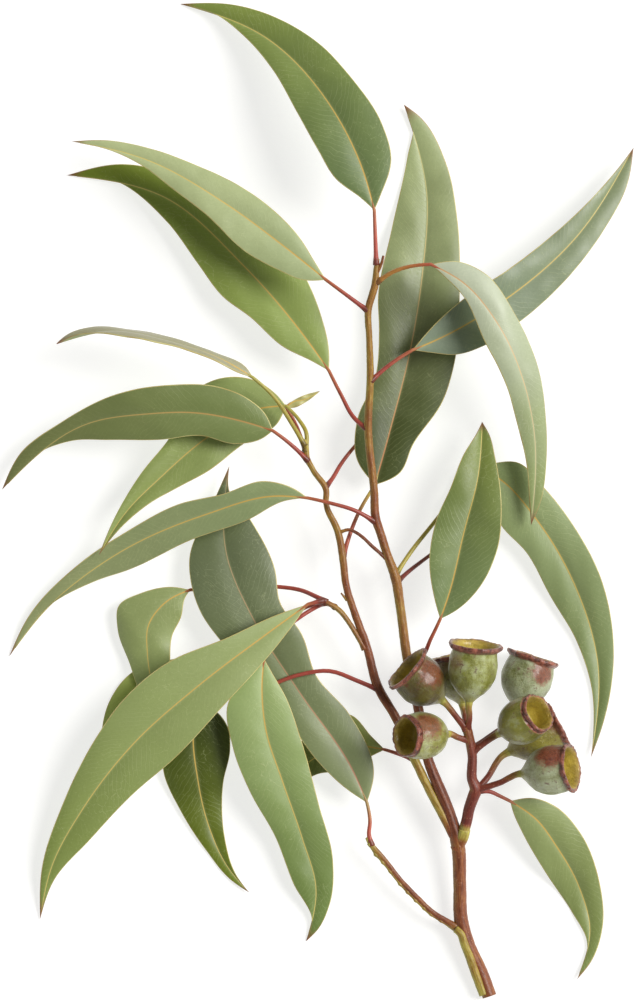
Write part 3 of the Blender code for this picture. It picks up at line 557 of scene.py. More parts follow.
def leafSurface(name, tones, vein, finish, seed):
    # Waxy cuticle over green flesh. It gives a satin green, cloudy over a few centimetres, with faint side
    # veins some 2 mm apart that leave the midrib at about 40 degrees, and a pale net that shows in places.
    surface, add, shader = newSurface(
        name, finish["roughness"], finish["ior"], Sheen_Weight=finish["sheen"], Sheen_Roughness=0.4)
    share, real = [readMap(add, title) for title in ("share", "real")]
    here = add("VectorMath ADD", add("TexCoord").outputs["Object"], (seed * 0.37, seed * 0.11, 0))
    cloud = add("TexNoise", here, Scale=1000 / finish["cloud"], Detail=3, Roughness=0.55)
    shown = add("TexNoise", here, Scale=1000 / finish["shownPatch"], Detail=1)
    grain = add("TexNoise", here, Scale=1000 / finish["grain"], Detail=2, Roughness=0.6)
    wander = add("TexNoise", here, Scale=1000 / finish["wanderSize"], Detail=2)
    # Side veins, which wander and come and go.
    across = add("Math ABSOLUTE", real[1])
    start = add("Math MULTIPLY_ADD", across, -finish["slant"], real[0])
    start = add("Math MULTIPLY_ADD", wander, finish["wander"], start)
    phase = add("Math FRACT", add("Math DIVIDE", start, finish["veinStep"]))
    off = add("Math ABSOLUTE", add("Math SUBTRACT", phase, 0.5))
    line = add("MapRange", off, finish["veinWidth"], 0, 0, 1, **softly)
    line = add("Math MULTIPLY", line, add("MapRange", shown, 0.4, 0.6, 0.15, 1))
    # The pale net, as cells of a few millimetres with thin walls.
    bent = add("VectorMath SCALE", wander.outputs["Color"], Scale=finish["netBend"] / 1000)
    bent = add("VectorMath ADD", bent, here)
    net = add("TexVoronoi", bent, Scale=1000 / finish["net"], feature="DISTANCE_TO_EDGE")
    netLine = add("MapRange", net, finish["netWidth"], 0, 0, 1, **softly)
    netShown = add("MapRange", add("Math MULTIPLY", cloud, grain), 0.24, 0.34)
    netLine = add("Math MULTIPLY", netLine, netShown)
    # Green from the base to the tip, mottled, with the veins over it.
    alongMix = add("Math MULTIPLY_ADD", cloud, finish["toneWander"], share[0])
    alongMix = add("MapRange", alongMix, 0.15 + finish["toneWander"] / 2, 0.85 + finish["toneWander"] / 2)
    green = add("Mix", alongMix, tones[0], tones[1])
    mottle = add("Math MULTIPLY_ADD", cloud, finish["cloudTone"] / finish["mottle"], grain)
    middle = 0.5 + 0.5 * finish["cloudTone"] / finish["mottle"]
    shade = add("MapRange", mottle, middle - 0.5, middle + 0.5, 1 - finish["mottle"], 1 + finish["mottle"])
    green = add("VectorMath SCALE", green, Scale=shade)
    netFaint = add("Math MULTIPLY", netLine, finish["netTone"])
    veins = add("Math MAXIMUM", add("Math MULTIPLY", line, finish["veinTone"]), netFaint)
    # The midrib is a thin pale line, warmer and wider towards the stalk, with a faint paler band beside it.
    ribHalf = add("MapRange", share[0], 0, 1, *finish["ribWidth"])
    ribNear = add("Math DIVIDE", across, ribHalf)
    ribLine = add("MapRange", ribNear, 1.25, 0.55, 0, 1, **softly)
    ribBand = add("MapRange", ribNear, 6, 0, 0, finish["ribBand"], **softly)
    ribTone = add("Mix", add("MapRange", share[0], 0, 0.8), vein[1], vein[2])
    # The drip tip turns red-brown.
    drip = add("MapRange", share[0], finish["drip"], 1, 0, 1, **softly)
    final = green
    dripTone = finish["dripTone"]
    for amount, tone in ((veins, vein[0]), (ribBand, vein[0]), (ribLine, ribTone), (drip, dripTone)):
        final = add("Mix", amount, final, tone)
    dull = finish["roughness"]
    rough = add("MapRange", mottle, middle - 0.3, middle + 0.3, dull - 0.07, dull + 0.09)
    relief = add("Math MULTIPLY", line, finish["veinRelief"])
    relief = add("Math MULTIPLY_ADD", netLine, finish["netRelief"], relief)
    relief = add("Math MULTIPLY_ADD", grain, finish["grainRelief"], relief)
    bump = add("Bump", Strength=finish["bump"], Distance=0.0002, Height=relief)
    useIn(shader, Base_Color=final, Roughness=rough, Normal=bump)
    return surface


def marginSurface(name, tone, drip):
    # The thickened margin holds little green, so it reads as a thin straw line that reddens at the tip.
    surface, add, shader = newSurface(name, 0.42)
    share = readMap(add, "share")
    patchy = add("TexNoise", add("TexCoord").outputs["Object"], Scale=1000 / 6, Detail=2)
    base = add("Mix", add("MapRange", patchy, 0.35, 0.65), tone[0], tone[1])
    reddened = add("MapRange", share[0], 0.85, 1)
    final = add("Mix", reddened, base, drip)
    useIn(shader, Base_Color=final)
    return surface


def leafStalkSurface(name, tones):
    # Green bark one cell layer thick, reddened by the sun: smooth and a little glossy. It is dark where it
    # joins the stem, red along the stalk, and it yellows where it runs on as the midrib.
    surface, add, shader = newSurface(name, 0.4)
    share, ring = [readMap(add, title) for title in ("share", "ring")]
    streakAt = add("CombineXYZ", add("Math MULTIPLY", share[1], 0.2), ring[0], ring[1])
    streak = add("TexNoise", streakAt, Scale=1.6, Detail=3)
    moved = add("Math MULTIPLY_ADD", streak, 0.3, share[0])
    stalkTone = add("Mix", add("MapRange", moved, 0.6, 1.2), tones[0], tones[1])
    onBlade = add("MapRange", share[0], 0.97, 1.3)
    ribTone = add("Mix", onBlade, stalkTone, tones[2])
    mottled = add("MapRange", streak, 0.3, 0.7, 0.86, 1.14)
    ribTone = add("VectorMath SCALE", ribTone, Scale=mottled)
    joint = add("MapRange", share[1], 3.2, 1.5, 0, 0.7, **softly)
    final = add("Mix", joint, ribTone, "#4a2a1c")
    rough = add("MapRange", streak, 0.3, 0.7, 0.33, 0.48)
    bump = add("Bump", Strength=0.4, Distance=0.0001, Height=streak)
    useIn(shader, Base_Color=final, Roughness=rough, Normal=bump)
    return surface


leafFinish = {
    "roughness": 0.43, "ior": 1.5, "sheen": 0.08, "cloud": 18, "cloudTone": 0.1, "grain": 0.9, "mottle": 0.08,
    "shownPatch": 14, "toneWander": 0.35, "wanderSize": 7, "wander": 5, "slant": 1.25, "veinStep": 2.3,
    "veinWidth": 0.1, "veinTone": 0.18, "net": 3.4, "netBend": 2.5, "netWidth": 0.035, "netTone": 0.27,
    "ribWidth": (0.3, 0.12), "ribBand": 0.16, "drip": 0.94, "dripTone": "#7a4a30", "veinRelief": 0.3,
    "netRelief": 0.3, "grainRelief": 0.3, "bump": 0.4,
}
backFinish = {**leafFinish, "roughness": 0.52, "veinTone": 0.3, "netTone": 0.3, "bump": 0.6}
usualLook = {
    "back": ("#96a26e", "#9aa66e"), "vein": ("#b9c08c", "#caa24e", "#cdb968"),
    "margin": ("#c9c080", "#b3a060"), "stalkTones": ("#9a4438", "#a9603e", "#bfa262"), "dripTip": "#8a5a3c",
}
leafBack = leafSurface("waxyLeafBack", usualLook["back"], usualLook["vein"], backFinish, 0)
leafMargin = marginSurface("leafMargin", usualLook["margin"], usualLook["dripTip"])
leafStalks = {}  # one surface for all the leaf stalks of the same tones
for number, (node, leaf) in enumerate(leaves.items()):
    look = {**usualLook, **leaf}
    tones = look["stalkTones"]
    if tones not in leafStalks:
        leafStalks[tones] = leafStalkSurface(f"leafStalk{len(leafStalks)}", tones)
    face = leafSurface(f"waxyLeafFace{number}", look["face"], look["vein"], leafFinish, number)
    makePiece(node, leafParts(number, leaf), [face, leafBack, leafMargin, leafStalks[tones]])
print("leaves made:", len(leaves))

# A young eucalyptus shoot is smooth and slightly square, red-brown where the sun reached it and olive in the
# shade, with swellings at the nodes. Each point is x, y, height, radius and tone: 0 dark red, 1 yellow-green.
# twigRidge is the jagged old bark along the low twig, and peeledStrip is where the main stem's bark has come
# away. Each of them lies half sunk in the stem that it belongs to.
stems = {
    "main": (
        (490, 998, 2.25, 2.5, 0.28), (483, 978, 2.2, 2.45, 0.28), (468, 944, 4.2, 2.35, 0.25),
        (462, 924, 5.2, 2.5, 0.22), (460, 885, 7, 2.3, 0.3), (458, 845, 9.2, 2.5, 0.35),
        (452, 822, 10.4, 2.2, 0.12), (446, 805, 11, 2.15, 0.08), (427, 756, 12.2, 1.8, 0.12),
        (418, 707, 12.4, 1.75, 0.15), (407, 657, 13.3, 1.7, 0.5), (400, 606, 15, 1.6, 0.55),
        (395, 576, 16.2, 1.8, 0.45), (388, 557, 16.8, 1.5, 0.4), (380, 532, 17.8, 1.5, 0.35),
        (376, 520, 18.2, 1.6, 0.3), (374, 491, 19, 1.4, 0.38), (368, 430, 21, 1.4, 0.5),
        (370, 377, 23.5, 1.3, 0.6), (369, 338, 25, 1.1, 0.62), (368, 311, 25.8, 1.25, 0.5),
        (375, 284, 26.7, 1.3, 0.55), (376, 270, 27, 1, 0.65), (377, 260, 27.2, 0.8, 0.75),
    ),
    "left": (
        (453, 836, 9.9, 1.5, 0.2), (443, 816, 10.8, 1.55, 0.6), (433, 797, 11, 1.6, 0.68),
        (413, 756, 12, 1.6, 0.7), (396, 718, 12.5, 1.6, 0.3), (378, 687, 13, 1.7, 0.2),
        (366, 644, 14, 1.45, 0.25), (355, 614, 15, 1.35, 0.3), (346, 585, 15.9, 1.3, 0.35),
        (343, 560, 16.4, 1.35, 0.42), (338, 532, 16.8, 1.3, 0.55), (326, 503, 17, 1.05, 0.55),
        (326, 490, 17, 1.15, 0.5), (313, 470, 17.5, 1, 0.65), (307, 458, 18, 1.1, 0.6),
        (306, 446, 18.6, 0.9, 0.75), (304, 440, 19, 0.85, 0.8),
    ),
    "lowTwig": (
        (460, 931, 5, 1, 0.6), (456, 928, 5.5, 1.5, 0.5), (447, 922, 6, 1.1, 0.32),
        (434, 914, 6.6, 1, 0.32), (417, 898, 7.3, 1, 0.3), (400, 880, 8, 0.95, 0.25),
        (385, 861, 8.8, 1, 0.4), (378, 853, 9.1, 1.1, 0.6), (369, 843, 9.5, 1, 0.85),
    ),
    "twigRidge": (
        (454.5, 930.5, 5.4, 0.7, 0.7), (445.6, 924, 6, 0.6, 0.6), (432.6, 915.8, 6.6, 0.6, 0.65),
        (415.6, 900, 7.3, 0.6, 0.68), (398.5, 881.8, 8, 0.6, 0.65), (383.6, 862.6, 8.8, 0.65, 0.75),
        (376.6, 854.5, 9.1, 0.7, 0.9), (368.5, 842, 9.5, 0.7, 0.95), (366.5, 838, 9.8, 0.45, 0.9),
    ),
    "peeledStrip": (
        (456, 929.5, 6.3, 1.5, 0.8), (461, 934, 6.5, 1.5, 0.75), (464.3, 943, 6, 1.6, 0.75),
        (469.8, 957, 5.2, 1.65, 0.7), (475.3, 973, 4.2, 1.65, 0.75), (480.2, 986, 3.5, 1.65, 0.75),
        (484, 996.3, 3.2, 1.6, 0.8),
    ),
    "leafTwig": (
        (365, 649, 14, 1, 0.3), (358, 637, 14.5, 0.95, 0.4), (350, 624, 15, 0.9, 0.5),
        (339, 610, 15.6, 0.95, 0.6), (330, 604, 15.9, 0.9, 0.5), (321, 600, 16, 0.85, 0.3),
    ),
    "crossStalk": (
        (337, 534, 16.8, 0.75, 0.6), (343, 531, 17.2, 0.62, 0.5), (350, 529.8, 17.4, 0.6, 0.35),
        (356, 532.5, 17.4, 0.6, 0.15), (373, 547, 17.2, 0.62, 0.15), (385, 558, 16.9, 0.65, 0.2),
        (396, 571, 16.5, 0.7, 0.25),
    ),
    "brokenStub": ((375, 276, 26.8, 0.7, 0.5), (381, 265, 27.6, 0.55, 0.4), (383, 257, 28.2, 0.4, 0.3)),
    "stipule": ((347, 600, 15.4, 0.5, 0.6), (341, 593, 16.4, 0.25, 0.5)),
    "nutCollar": ((457, 850, 8.8, 1.9, 0.3), (461.6, 840, 10.2, 2.15, 0.35), (463, 836.5, 10.7, 2.3, 0.8),
                  (464.6, 829.8, 11.27, 2.15, 0.95)),
}
fruitStem = (
    (463.5, 834, 10.9, 1.7, 0.9), (465.2, 826.6, 11.5, 2, 0.8), (466.5, 821.5, 12, 1.9, 0.1),
    (469, 809, 13, 1.95, 0.08), (473, 797, 14.4, 2.05, 0.12), (475.5, 790, 15, 2.2, 0.2),
    (472, 779, 15.8, 1.8, 0.1), (472, 756, 17, 1.65, 0.12), (470, 742, 17.8, 1.7, 0.25),
    (466, 726, 18.8, 1.7, 0.4),
)
stemBuild = {
    "sides": 32, "step": 0.5, "square": 0.035, "lump": 0.07, "lumpSizes": (1.2, 6), "seed": 7,
    "flare": 0.35, "flareLength": 1.6, "scarWidth": 0.7, "fewest": 8, "blurReach": 4, "blurWidth": 2.5,
    "fruitSeed": 31, "nutSeed": 40,
}
# Old leaf scars on the ridge of the low twig, as x, y and height in mm.
scars = ((441, 922, 0.35), (431, 915.5, 0.3), (424, 909, 0.4), (415.5, 901.5, 0.45), (407.5, 893, 0.45),
         (399.5, 885, 0.4), (390, 872, 0.3), (382.5, 863, 0.4), (375, 855.5, 0.45))


def stemPart(points, seed, flared=True, bumps=()):
    build = stemBuild
    knots = np.array([place(*point[:3]) for point in points])
    length = lengthsOf(knots)[-1]
    count = max(build["fewest"], int(length / build["step"]))
    shares = np.linspace(0, 1, count)
    path = along(knots, shares)
    knotShares = lengthsOf(knots) / length
    radii = np.interp(shares, knotShares, [point[3] for point in points])
    tones = np.interp(shares, knotShares, [point[4] for point in points])
    blurReach = build["blurReach"]
    blur = np.exp(-((np.arange(-blurReach, blurReach + 1) / build["blurWidth"]) ** 2))
    radii = np.convolve(np.pad(radii, blurReach, mode="edge"), blur / blur.sum(), mode="valid")
    fromStart = lengthsOf(path)
    if flared:
        radii = radii * (1 + build["flare"] * np.exp(-((fromStart / build["flareLength"]) ** 2)))
    plain, around, ring, turns = tube(path, radii, build["sides"], np.array((0, 0, 1.0)))
    relief = build["square"] * np.cos(4 * turns + seed)[None, :] * radii[:, None]
    relief = relief + build["lump"] * ripples(seed, plain, build["lumpSizes"])
    for x, y, height in bumps:
        away = np.linalg.norm(plain[..., :2] - place(x, y)[:2], axis=-1)
        relief = relief + height * np.exp(-((away / build["scarWidth"]) ** 2))
    rings = plain + relief[..., None] * around
    share = pairs(relief.shape, shares[:, None], tones[:, None])
    real = pairs(relief.shape, fromStart[:, None], radii[:, None])
    return skin(rings, share, real, ring, [0] * build["sides"], endSlot=1)


def barkSurface(name, tones, finish):
    # Thin smooth bark over green wood. Streaks run along the stem, pale breathing pores dot it, and the wax
    # gives
    # narrow bright highlights. The tone on the side turned away from the studio lamp moves towards
    # yellow-green:
    # partly the shoot's own less sunned side and partly painted shade, as it follows the lamp.
    surface, add, shader = newSurface(name, finish["roughness"])
    share, real, ring = [readMap(add, title) for title in ("share", "real", "ring")]
    streak = add("TexNoise", streaksAlong(add, real, ring, finish), Scale=1, Detail=5, Roughness=0.65)
    here = add("TexCoord").outputs["Object"]
    patch = add("TexNoise", here, Scale=1000 / finish["patch"], Detail=3)
    speck = add("TexNoise", here, Scale=1000 / finish["speck"], Detail=2)
    # Painted shade-side tint: the further a surface turns from the lamp, the more its tone moves to
    # yellow-green.
    lampAwayFacing = add("VectorMath DOT_PRODUCT", add("NewGeometry").outputs["Normal"], finish["lampAwaySide"])
    shade = add("MapRange", lampAwayFacing, 0, 0.85, 0, finish["paintedShadeGreen"])
    tone = add("Math MULTIPLY_ADD", streak, finish["streakTone"], share[1])
    tone = add("Math MULTIPLY_ADD", patch, finish["patchTone"], tone)
    tone = add("Math SUBTRACT", tone, (finish["streakTone"] + finish["patchTone"]) / 2)
    tone = add("Math ADD", tone, shade)
    mixed = tones[0]
    for low, high, code in zip((0, 0.3, 0.6), (0.35, 0.62, 0.95), tones[1:]):
        mixed = add("Mix", add("MapRange", tone, low, high), mixed, code)
    grained = add("MapRange", streak, 0.3, 0.7, 1 - finish["streakShade"], 1 + finish["streakShade"])
    mixed = add("VectorMath SCALE", mixed, Scale=grained)
    dots = add("MapRange", speck, 0.64, 0.72, 0, finish["dots"])
    final = add("Mix", dots, mixed, finish["dotTone"])
    rough = add("MapRange", streak, 0.3, 0.7, finish["roughness"] - 0.08, finish["roughness"] + 0.12)
    relief = add("Math MULTIPLY_ADD", speck, 0.7, streak)
    bump = add("Bump", Strength=finish["bump"], Distance=0.0002, Height=relief)
    useIn(shader, Base_Color=final, Roughness=rough, Normal=bump)
    return surface


def cutSurface():
    # Pruned end: pale damp wood with a darker pith.
    surface, add, shader = newSurface("cutWood", 0.6)
    middle = add("VectorMath LENGTH", add("UVMap", uv_map="ring"))
    grain = add("TexNoise", add("TexCoord").outputs["Object"], Scale=1000 / 0.4, Detail=3)
    pith = add("MapRange", middle, 0.7, 0.4)
    wood = add("Mix", grain, "#cdbd84", "#a99560")
    final = add("Mix", pith, wood, "#7d5f38")
    useIn(shader, Base_Color=final)
    return surface


# The bark finish also holds the direction and strength of the painted shade-side tint.
barkFinish = {
    "roughness": 0.4, "streakLength": 5, "streakWidth": 0.55, "patch": 9, "speck": 0.6, "paintedShadeGreen": 0.35,
    "lampAwaySide": (-0.83, -0.4, -0.4), "streakTone": 0.6, "patchTone": 0.45, "streakShade": 0.3, "dots": 0.6,
    "dotTone": "#b58a6a", "bump": 0.6,
}
barkTones = ("#582a1c", "#84492a", "#936f2e", "#aaa24c")
fruitTones = ("#622820", "#80402e", "#96703a", "#aaa450")
bark = barkSurface("youngBark", barkTones, barkFinish)
cutWood = cutSurface()
parts = [
    stemPart(points, stemBuild["seed"] + i, flared=name not in ("main", "left", "peeledStrip", "twigRidge"),
             bumps=scars if name == "twigRidge" else ())
    for i, (name, points) in enumerate(stems.items())
]
makePiece("woody_stem", parts, [bark, cutWood])
print("woody stem made")

# Eucalyptus gum nuts are woody capsules: a pear-shaped cup with a thin wrinkled rim and a bowl with the
# remains of the style in its middle. stalk leads from the fruit stalk to the nut, base and mouth are the
# ends of its axis, radius is the body's, and rim is the rim's width against the body's. blush is the middle
# and the size of the patch that the sun has reddened, rust and bloom say how much each shows, and skin holds
# the two greens under them.
nuts = (
    {"stalk": ((466, 729, 18.8, 1.2), (455, 715, 20.3, 1.1)), "base": (442, 700, 22.2),
     "mouth": (405.5, 667, 26.3), "radius": 8.8, "rim": 1.08, "blush": (429, 672, 31, 5),
     "rust": 0.75, "bloom": 0.05, "skin": ("#4a3c10", "#706a26")},
    {"stalk": ((467, 728, 18.8, 1.2), (469, 717, 21, 1.1)), "base": (468.5, 701, 25),
     "mouth": (474.5, 643, 28.6), "radius": 8.8, "rim": 1.1, "blush": (456, 660, 33, 3),
     "rust": 0.4, "bloom": 0.75, "skin": ("#75772a", "#a4a848")},
    {"stalk": ((466, 730, 18, 1.2), (465, 718, 14, 1.1)), "base": (462.5, 704, 8.6),
     "mouth": (453, 655, 9), "radius": 8.5, "rim": 1.08, "blush": (445, 665, 14, 4),
     "rust": 0.5, "bloom": 0.5, "skin": ("#7a7a38", "#8f9150")},
    {"stalk": ((472, 748, 17, 1.2), (488, 738, 14, 1.1)), "base": (517, 709, 9.2),
     "mouth": (534, 656, 9.4), "radius": 9.2, "rim": 1.05, "blush": (541, 673, 16, 4.5),
     "rust": 0.9, "bloom": 0.9, "skin": ("#686c32", "#8f9460")},
    {"stalk": ((472, 752, 17, 1.2), (486, 741, 18, 1.1)), "base": (499.5, 732.5, 18.8),
     "mouth": (538, 711, 31), "radius": 8.2, "rim": 0.88, "blush": (508, 702, 30, 2.5),
     "rust": 0.35, "bloom": 0.35, "skin": ("#6b6816", "#929032")},
    {"stalk": ((477, 790, 14.8, 1.2), (487, 778, 13, 1.1)), "base": (508.5, 752.5, 8.6),
     "mouth": (561, 725, 8.7), "radius": 8.6, "rim": 1.06, "blush": (556, 722, 16, 4),
     "rust": 0.5, "bloom": 0.1, "skin": ("#665c18", "#938a36")},
    {"stalk": ((478, 789, 15, 1.2), (500, 782, 17, 1.1)), "base": (521, 773, 19.4),
     "mouth": (571, 766, 26.6), "radius": 8.9, "rim": 0.98, "blush": (549, 752, 30, 5.5),
     "rust": 0.95, "bloom": 0.95, "skin": ("#6c6c34", "#979a60")},
    {"stalk": ((469, 740, 17.8, 1.2), (458, 737, 18.8, 1.1)), "base": (447, 733.5, 19.8),
     "mouth": (404.5, 735, 31.4), "radius": 8.5, "rim": 0.9, "blush": (428, 724, 33, 5),
     "rust": 0.85, "bloom": 0.65, "skin": ("#757526", "#a6a450")},
)
nutBuild = {
    "sides": 120, "bodySteps": 46, "lipSteps": 30, "cupSteps": 40,
    "body": ((0.16, 0), (0.34, 0.08), (0.62, 0.19), (0.88, 0.35), (1.0, 0.54), (0.99, 0.7), (0.92, 0.87)),
    "lip": ((0.92, 0.885), (0.94, 0.92), (0.985, 0.94), (1.0, 0.96), (0.99, 0.985), (0.94, 1.0),
            (0.86, 0.985)),
    "cup": ((0.8, 0.93), (0.765, 0.82), (0.75, 0.7), (0.68, 0.61), (0.45, 0.58), (0.26, 0.578), (0.21, 0.605),
            (0.15, 0.66), (0.02, 0.68)),
    "lobes": 5, "lobeHeight": 0.3, "lipWave": 0.28, "wrinkles": (13, 19, 29), "wrinkleHeight": 0.24,
    "lump": 0.2, "lumpSizes": (2.5, 12), "seed": 90,
    "lipReach": 0.4, "wobbles": (2, 3, 7), "wobbleShare": 0.25, "twist": 0.25,
    "cone": ((1.2, 1.2, 0.7), (0.3, 1.45, 0.95), (-0.5, 1.7, 1)),
}


def nutAxis(nut):
    base, mouth = place(*nut["base"]), place(*nut["mouth"])
    return base, unit(mouth - base), np.linalg.norm(mouth - base)


def nutPart(number, nut):
    build = nutBuild
    base, axis, length = nutAxis(nut)
    rim = nut["rim"]
    body = along(build["body"], np.linspace(0, 1, build["bodySteps"]))
    lip = along([(r * rim if i else r, h) for i, (r, h) in enumerate(build["lip"])],
                np.linspace(0, 1, build["lipSteps"]))
    cup = along([(r * rim, h) for r, h in build["cup"]], np.linspace(0, 1, build["cupSteps"]))
    outline = np.vstack((body, lip, cup))
    zone = np.concatenate([np.linspace(i, i + 1, len(part), endpoint=False)
                           for i, part in enumerate((body, lip, cup))])
    onLip = np.exp(-(((zone - 1.5) / build["lipReach"]) ** 2))  # zones 0 to 1 body, 1 to 2 lip, 2 to 3 cup
    side = unit(np.cross(axis, (0, 0, 1.0)))
    up = np.cross(side, axis)
    turns = math.tau * (np.arange(build["sides"]) + 0.5) / build["sides"]
    around = np.cos(turns)[:, None] * side + np.sin(turns)[:, None] * up
    draw = np.random.default_rng(build["seed"] + number)
    waves = build["lobeHeight"] * np.sin(build["lobes"] * turns + number)
    wobble = sum(
        draw.uniform(0.3, 1) * np.sin(k * turns + draw.uniform(0, math.tau)) for k in build["wobbles"])
    wobble = wobble / len(build["wobbles"])
    wrinkle = build["wrinkleHeight"] * sum(
        draw.uniform(0.4, 1) * np.sin(
            k * turns[None, :] + draw.uniform(0, math.tau) + k * build["twist"] * zone[:, None])
        for k in build["wrinkles"]) / 2
    lipShape = waves + build["wobbleShare"] * wobble + wrinkle
    outward = outline[:, :1] * nut["radius"] + onLip[:, None] * lipShape
    upward = outline[:, 1:] * length + onLip[:, None] * (build["lipWave"] / 2 * (
        wobble + np.sin(build["lobes"] * turns + 1.3 * number)) + 0.5 * wrinkle)
    rings = base + upward[..., None] * axis + outward[..., None] * around
    lump = build["lump"] * ripples(build["seed"] + number, rings, build["lumpSizes"])
    lump = lump * smoothStep(outline[:, :1], 0.15, 0.5)
    rings = rings + lump[..., None] * around
    shape = rings.shape[:2]
    real = pairs(shape, lengthsOf(outline * (nut["radius"], length))[:, None], outward)
    ring = pairs(shape, nut["radius"] * np.cos(turns), nut["radius"] * np.sin(turns))
    return skin(rings, pairs(shape, zone[:, None], outline[:, 1:]), real, ring, [0] * build["sides"])


def nutSurface(name, nut, finish, seed):
    # Green woody capsule: olive skin under a pale waxy bloom that has rubbed off in places, reddened where
    # the sun fell, with fine scratches and dark dots. The rim is bare red-brown wood, the bowl yellow-olive.
    surface, add, shader = newSurface(
        name, 0.5, Sheen_Weight=finish["sheen"], Sheen_Roughness=0.5, Coat_Weight=finish["coat"],
        Coat_Roughness=0.22)
    spot = add("TexCoord").outputs["Object"]
    here = add("VectorMath ADD", spot, (seed * 0.3, 0, seed * 0.1))
    share, real, ring = [readMap(add, title) for title in ("share", "real", "ring")]
    streak = add("TexNoise", streaksAlong(add, real, ring, finish), Scale=1, Detail=4, Roughness=0.6)
    cloud = add("TexNoise", here, Scale=1000 / finish["cloud"], Detail=4, Roughness=0.6)
    corky = add("TexNoise", here, Scale=1000 / finish["cork"], Detail=7, Roughness=0.75)
    grain = add("TexNoise", here, Scale=1000 / finish["grain"], Detail=3, Roughness=0.7)
    # Olive skin with bloom over it.
    olive = add("Math MULTIPLY_ADD", streak, finish["streakShare"], cloud)
    half = (1 + finish["streakShare"]) / 2
    olive = add("MapRange", olive, half - 0.16, half + 0.16)
    skinTone = add("Mix", olive, *nut["skin"])
    waxy = add("Math MULTIPLY_ADD", corky, 0.45, add("Math MULTIPLY_ADD", streak, 0.25, cloud))
    rubbed = 1.05 - 0.4 * nut["bloom"]
    waxy = add("MapRange", waxy, rubbed, rubbed + 0.3, 0, finish["bloomMost"])
    # The sunned patch, with a ragged border.
    middle = place(*nut["blush"][:3]) / 1000
    away = add("VectorMath DISTANCE", spot, tuple(middle))
    away = add("Math MULTIPLY", away, 1000 / nut["blush"][3])
    away = add("Math MULTIPLY_ADD", corky, -1.6, away)
    blushed = add("MapRange", away, 0.45, -0.05, 0, nut["rust"])
    rustTone = add("Mix", add("MapRange", grain, 0.35, 0.65), finish["rust"], finish["rustLight"])
    scratch = add("Math MULTIPLY_ADD", streak, 0.4, corky)
    scratch = add("MapRange", scratch, 0.78, 0.86, 0, 0.7)
    # Yellow-green where the stalk meets the nut.
    foot = add("MapRange", add("Math MULTIPLY_ADD", corky, 0.12, share[1]), 0.22, 0.08, 0, 0.85)
    # Rim and bowl, with ragged borders between the zones.
    ragged = add("Math MULTIPLY_ADD", corky, 0.4, share[0])
    rim = add("MapRange", ragged, 1.2, 1.32)
    rimTone = add("Mix", add("MapRange", corky, 0.42, 0.62), finish["rimDark"], finish["rimLight"])
    cupTone = add("Mix", add("MapRange", cloud, 0.35, 0.65), finish["cupDark"], finish["cup"])
    cup = add("MapRange", ragged, 2.0, 2.25)
    knob = add("MapRange", share[0], 2.77, 2.82)
    dots = add("MapRange", grain, 0.6, 0.69, 0, 0.55)
    final = skinTone
    for amount, tone in (
        (waxy, finish["bloom"]), (blushed, rustTone), (scratch, finish["rust"]), (foot, finish["foot"]),
        (rim, rimTone), (cup, cupTone), (knob, finish["knob"]), (dots, finish["dot"]),
    ):
        final = add("Mix", amount, final, tone)
    rough = add("MapRange", waxy, 0, finish["bloomMost"], 0.3, 0.5)
    relief = add("Math MULTIPLY_ADD", grain, 0.5, corky)
    relief = add("Math MULTIPLY_ADD", streak, 0.5, relief)
    bump = add("Bump", Strength=finish["bump"], Distance=0.0004, Height=relief)
    useIn(shader, Base_Color=final, Roughness=rough, Normal=bump)
    return surface


nutFinish = {
    "bloom": "#b9c2a4", "bloomMost": 0.72, "rust": "#5a2010", "rustLight": "#96482c", "rimDark": "#4e2014",
    "rimLight": "#a8604a", "cup": "#c4ae44", "cupDark": "#94802a", "knob": "#b98a3a", "foot": "#a09c3e",
    "dot": "#4a3218", "streakLength": 8, "streakWidth": 1.8, "streakShare": 0.3, "cloud": 7, "cork": 2.4,
    "grain": 0.6, "sheen": 0.04, "coat": 0.4, "bump": 1,
}
for number, nut in enumerate(nuts, 1):
    surface = nutSurface(f"gumNutSkin{number}", nut, nutFinish, number)
    makePiece(f"gum_nut_{number}", [nutPart(number, nut)], [surface])
print("gum nuts made:", len(nuts))

stalkParts = [stemPart(fruitStem, stemBuild["fruitSeed"], flared=False)]
for number, nut in enumerate(nuts):
    base, axis, _ = nutAxis(nut)
    ends = []
    for back, radius, tone in nutBuild["cone"]:
        x, y, z = base - axis * back
        ends.append((x / tracing["step"] + tracing["centreX"], tracing["centreY"] - y / tracing["step"], z,
                     radius, tone))
    near = [(*point, 0.15 + 0.1 * i) for i, point in enumerate(nut["stalk"])]
    stalkParts.append(stemPart([*near, *ends], stemBuild["nutSeed"] + number))
fruitBark = barkSurface("fruitStalkBark", fruitTones, barkFinish)
makePiece("nut_stalk", stalkParts, [fruitBark, cutWood])
print("fruit stalk made")

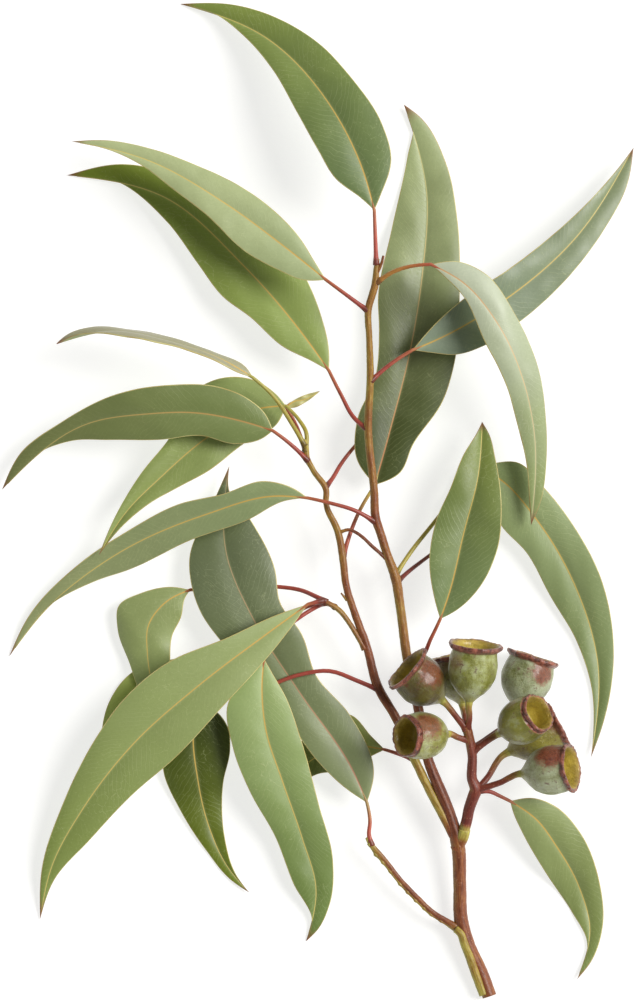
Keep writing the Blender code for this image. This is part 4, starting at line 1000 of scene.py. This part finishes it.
# Stage: a plain pale table that curves up into a wall all round, one soft studio lamp from the upper right
# and a little room light. The table glows a little, as a lit white sweep does in a high-key picture.
stage = {
    "flatRings": (0.2, 2), "floorRadius": 9, "wallRadius": 11.5, "wallHeight": 3, "drop": 0.0003,
    "steps": 16, "sides": 96, "floorRoughness": 0.8,
    "floorTone": "#a6a6a4", "floorGlow": 0.72, "lampFrom": (0.648, 0.211, 0.731), "lampPower": 3.45,
    "lampAngle": 30, "lampTone": (1.0, 0.99, 0.965), "room": 0.2, "roomTone": (1.0, 1.0, 0.94),
    "lens": 300, "cameraHeight": 3.012, "cameraPlace": (0.00018, 0.00022), "farthest": 40,
}
turns = np.arange(stage["sides"]) * math.tau / stage["sides"]
bend = np.linspace(0, math.pi / 2, stage["steps"])
reach = stage["wallRadius"] - stage["floorRadius"]
profile = [(r, -stage["drop"]) for r in stage["flatRings"]]
profile += [
    (stage["floorRadius"] + reach * math.sin(a), reach * (1 - math.cos(a)) - stage["drop"]) for a in bend]
profile.append((stage["wallRadius"], stage["wallHeight"]))
sweepPoints = [(r * math.cos(a), r * math.sin(a), z) for r, z in profile for a in turns]
sweepFaces = [list(range(stage["sides"]))]
for i in range(len(profile) - 1):
    for j in range(stage["sides"]):
        k = (j + 1) % stage["sides"]
        low, high = i * stage["sides"], (i + 1) * stage["sides"]
        sweepFaces.append([low + j, high + j, high + k, low + k])
sweepMesh = bpy.data.meshes.new("tableTop")
sweepMesh.from_pydata(sweepPoints, [], sweepFaces)
sweepMesh.shade_smooth()
table = bpy.data.objects.new("tableTop", sweepMesh)
bpy.context.scene.collection.objects.link(table)
paper, _, _ = newSurface("paleTable", stage["floorRoughness"], Base_Color=colour(stage["floorTone"]),
                         Emission_Color=(1, 1, 1, 1), Emission_Strength=stage["floorGlow"])
sweepMesh.materials.append(paper)

lamp = bpy.data.objects.new("studioLamp", bpy.data.lights.new("studioLamp", "SUN"))
lamp.data.energy = stage["lampPower"]
lamp.data.angle = math.radians(stage["lampAngle"])
lamp.data.color = stage["lampTone"]
bpy.context.scene.collection.objects.link(lamp)
lamp.rotation_mode = "QUATERNION"
lamp.rotation_quaternion = Vector(stage["lampFrom"]).to_track_quat("Z", "Y")

world = bpy.data.worlds.new("room")
bpy.context.scene.world = world
world.use_nodes = True
world.node_tree.nodes["Background"].inputs["Color"].default_value = (*stage["roomTone"], 1)
world.node_tree.nodes["Background"].inputs["Strength"].default_value = stage["room"]

camera = bpy.data.objects.new("camera", bpy.data.cameras.new("camera"))
camera.data.lens = stage["lens"]
camera.data.clip_end = stage["farthest"]
camera.location = (*stage["cameraPlace"], stage["cameraHeight"])
bpy.context.scene.collection.objects.link(camera)
bpy.context.scene.camera = camera
bpy.context.scene.view_settings.view_transform = "Standard"

print("stage set")
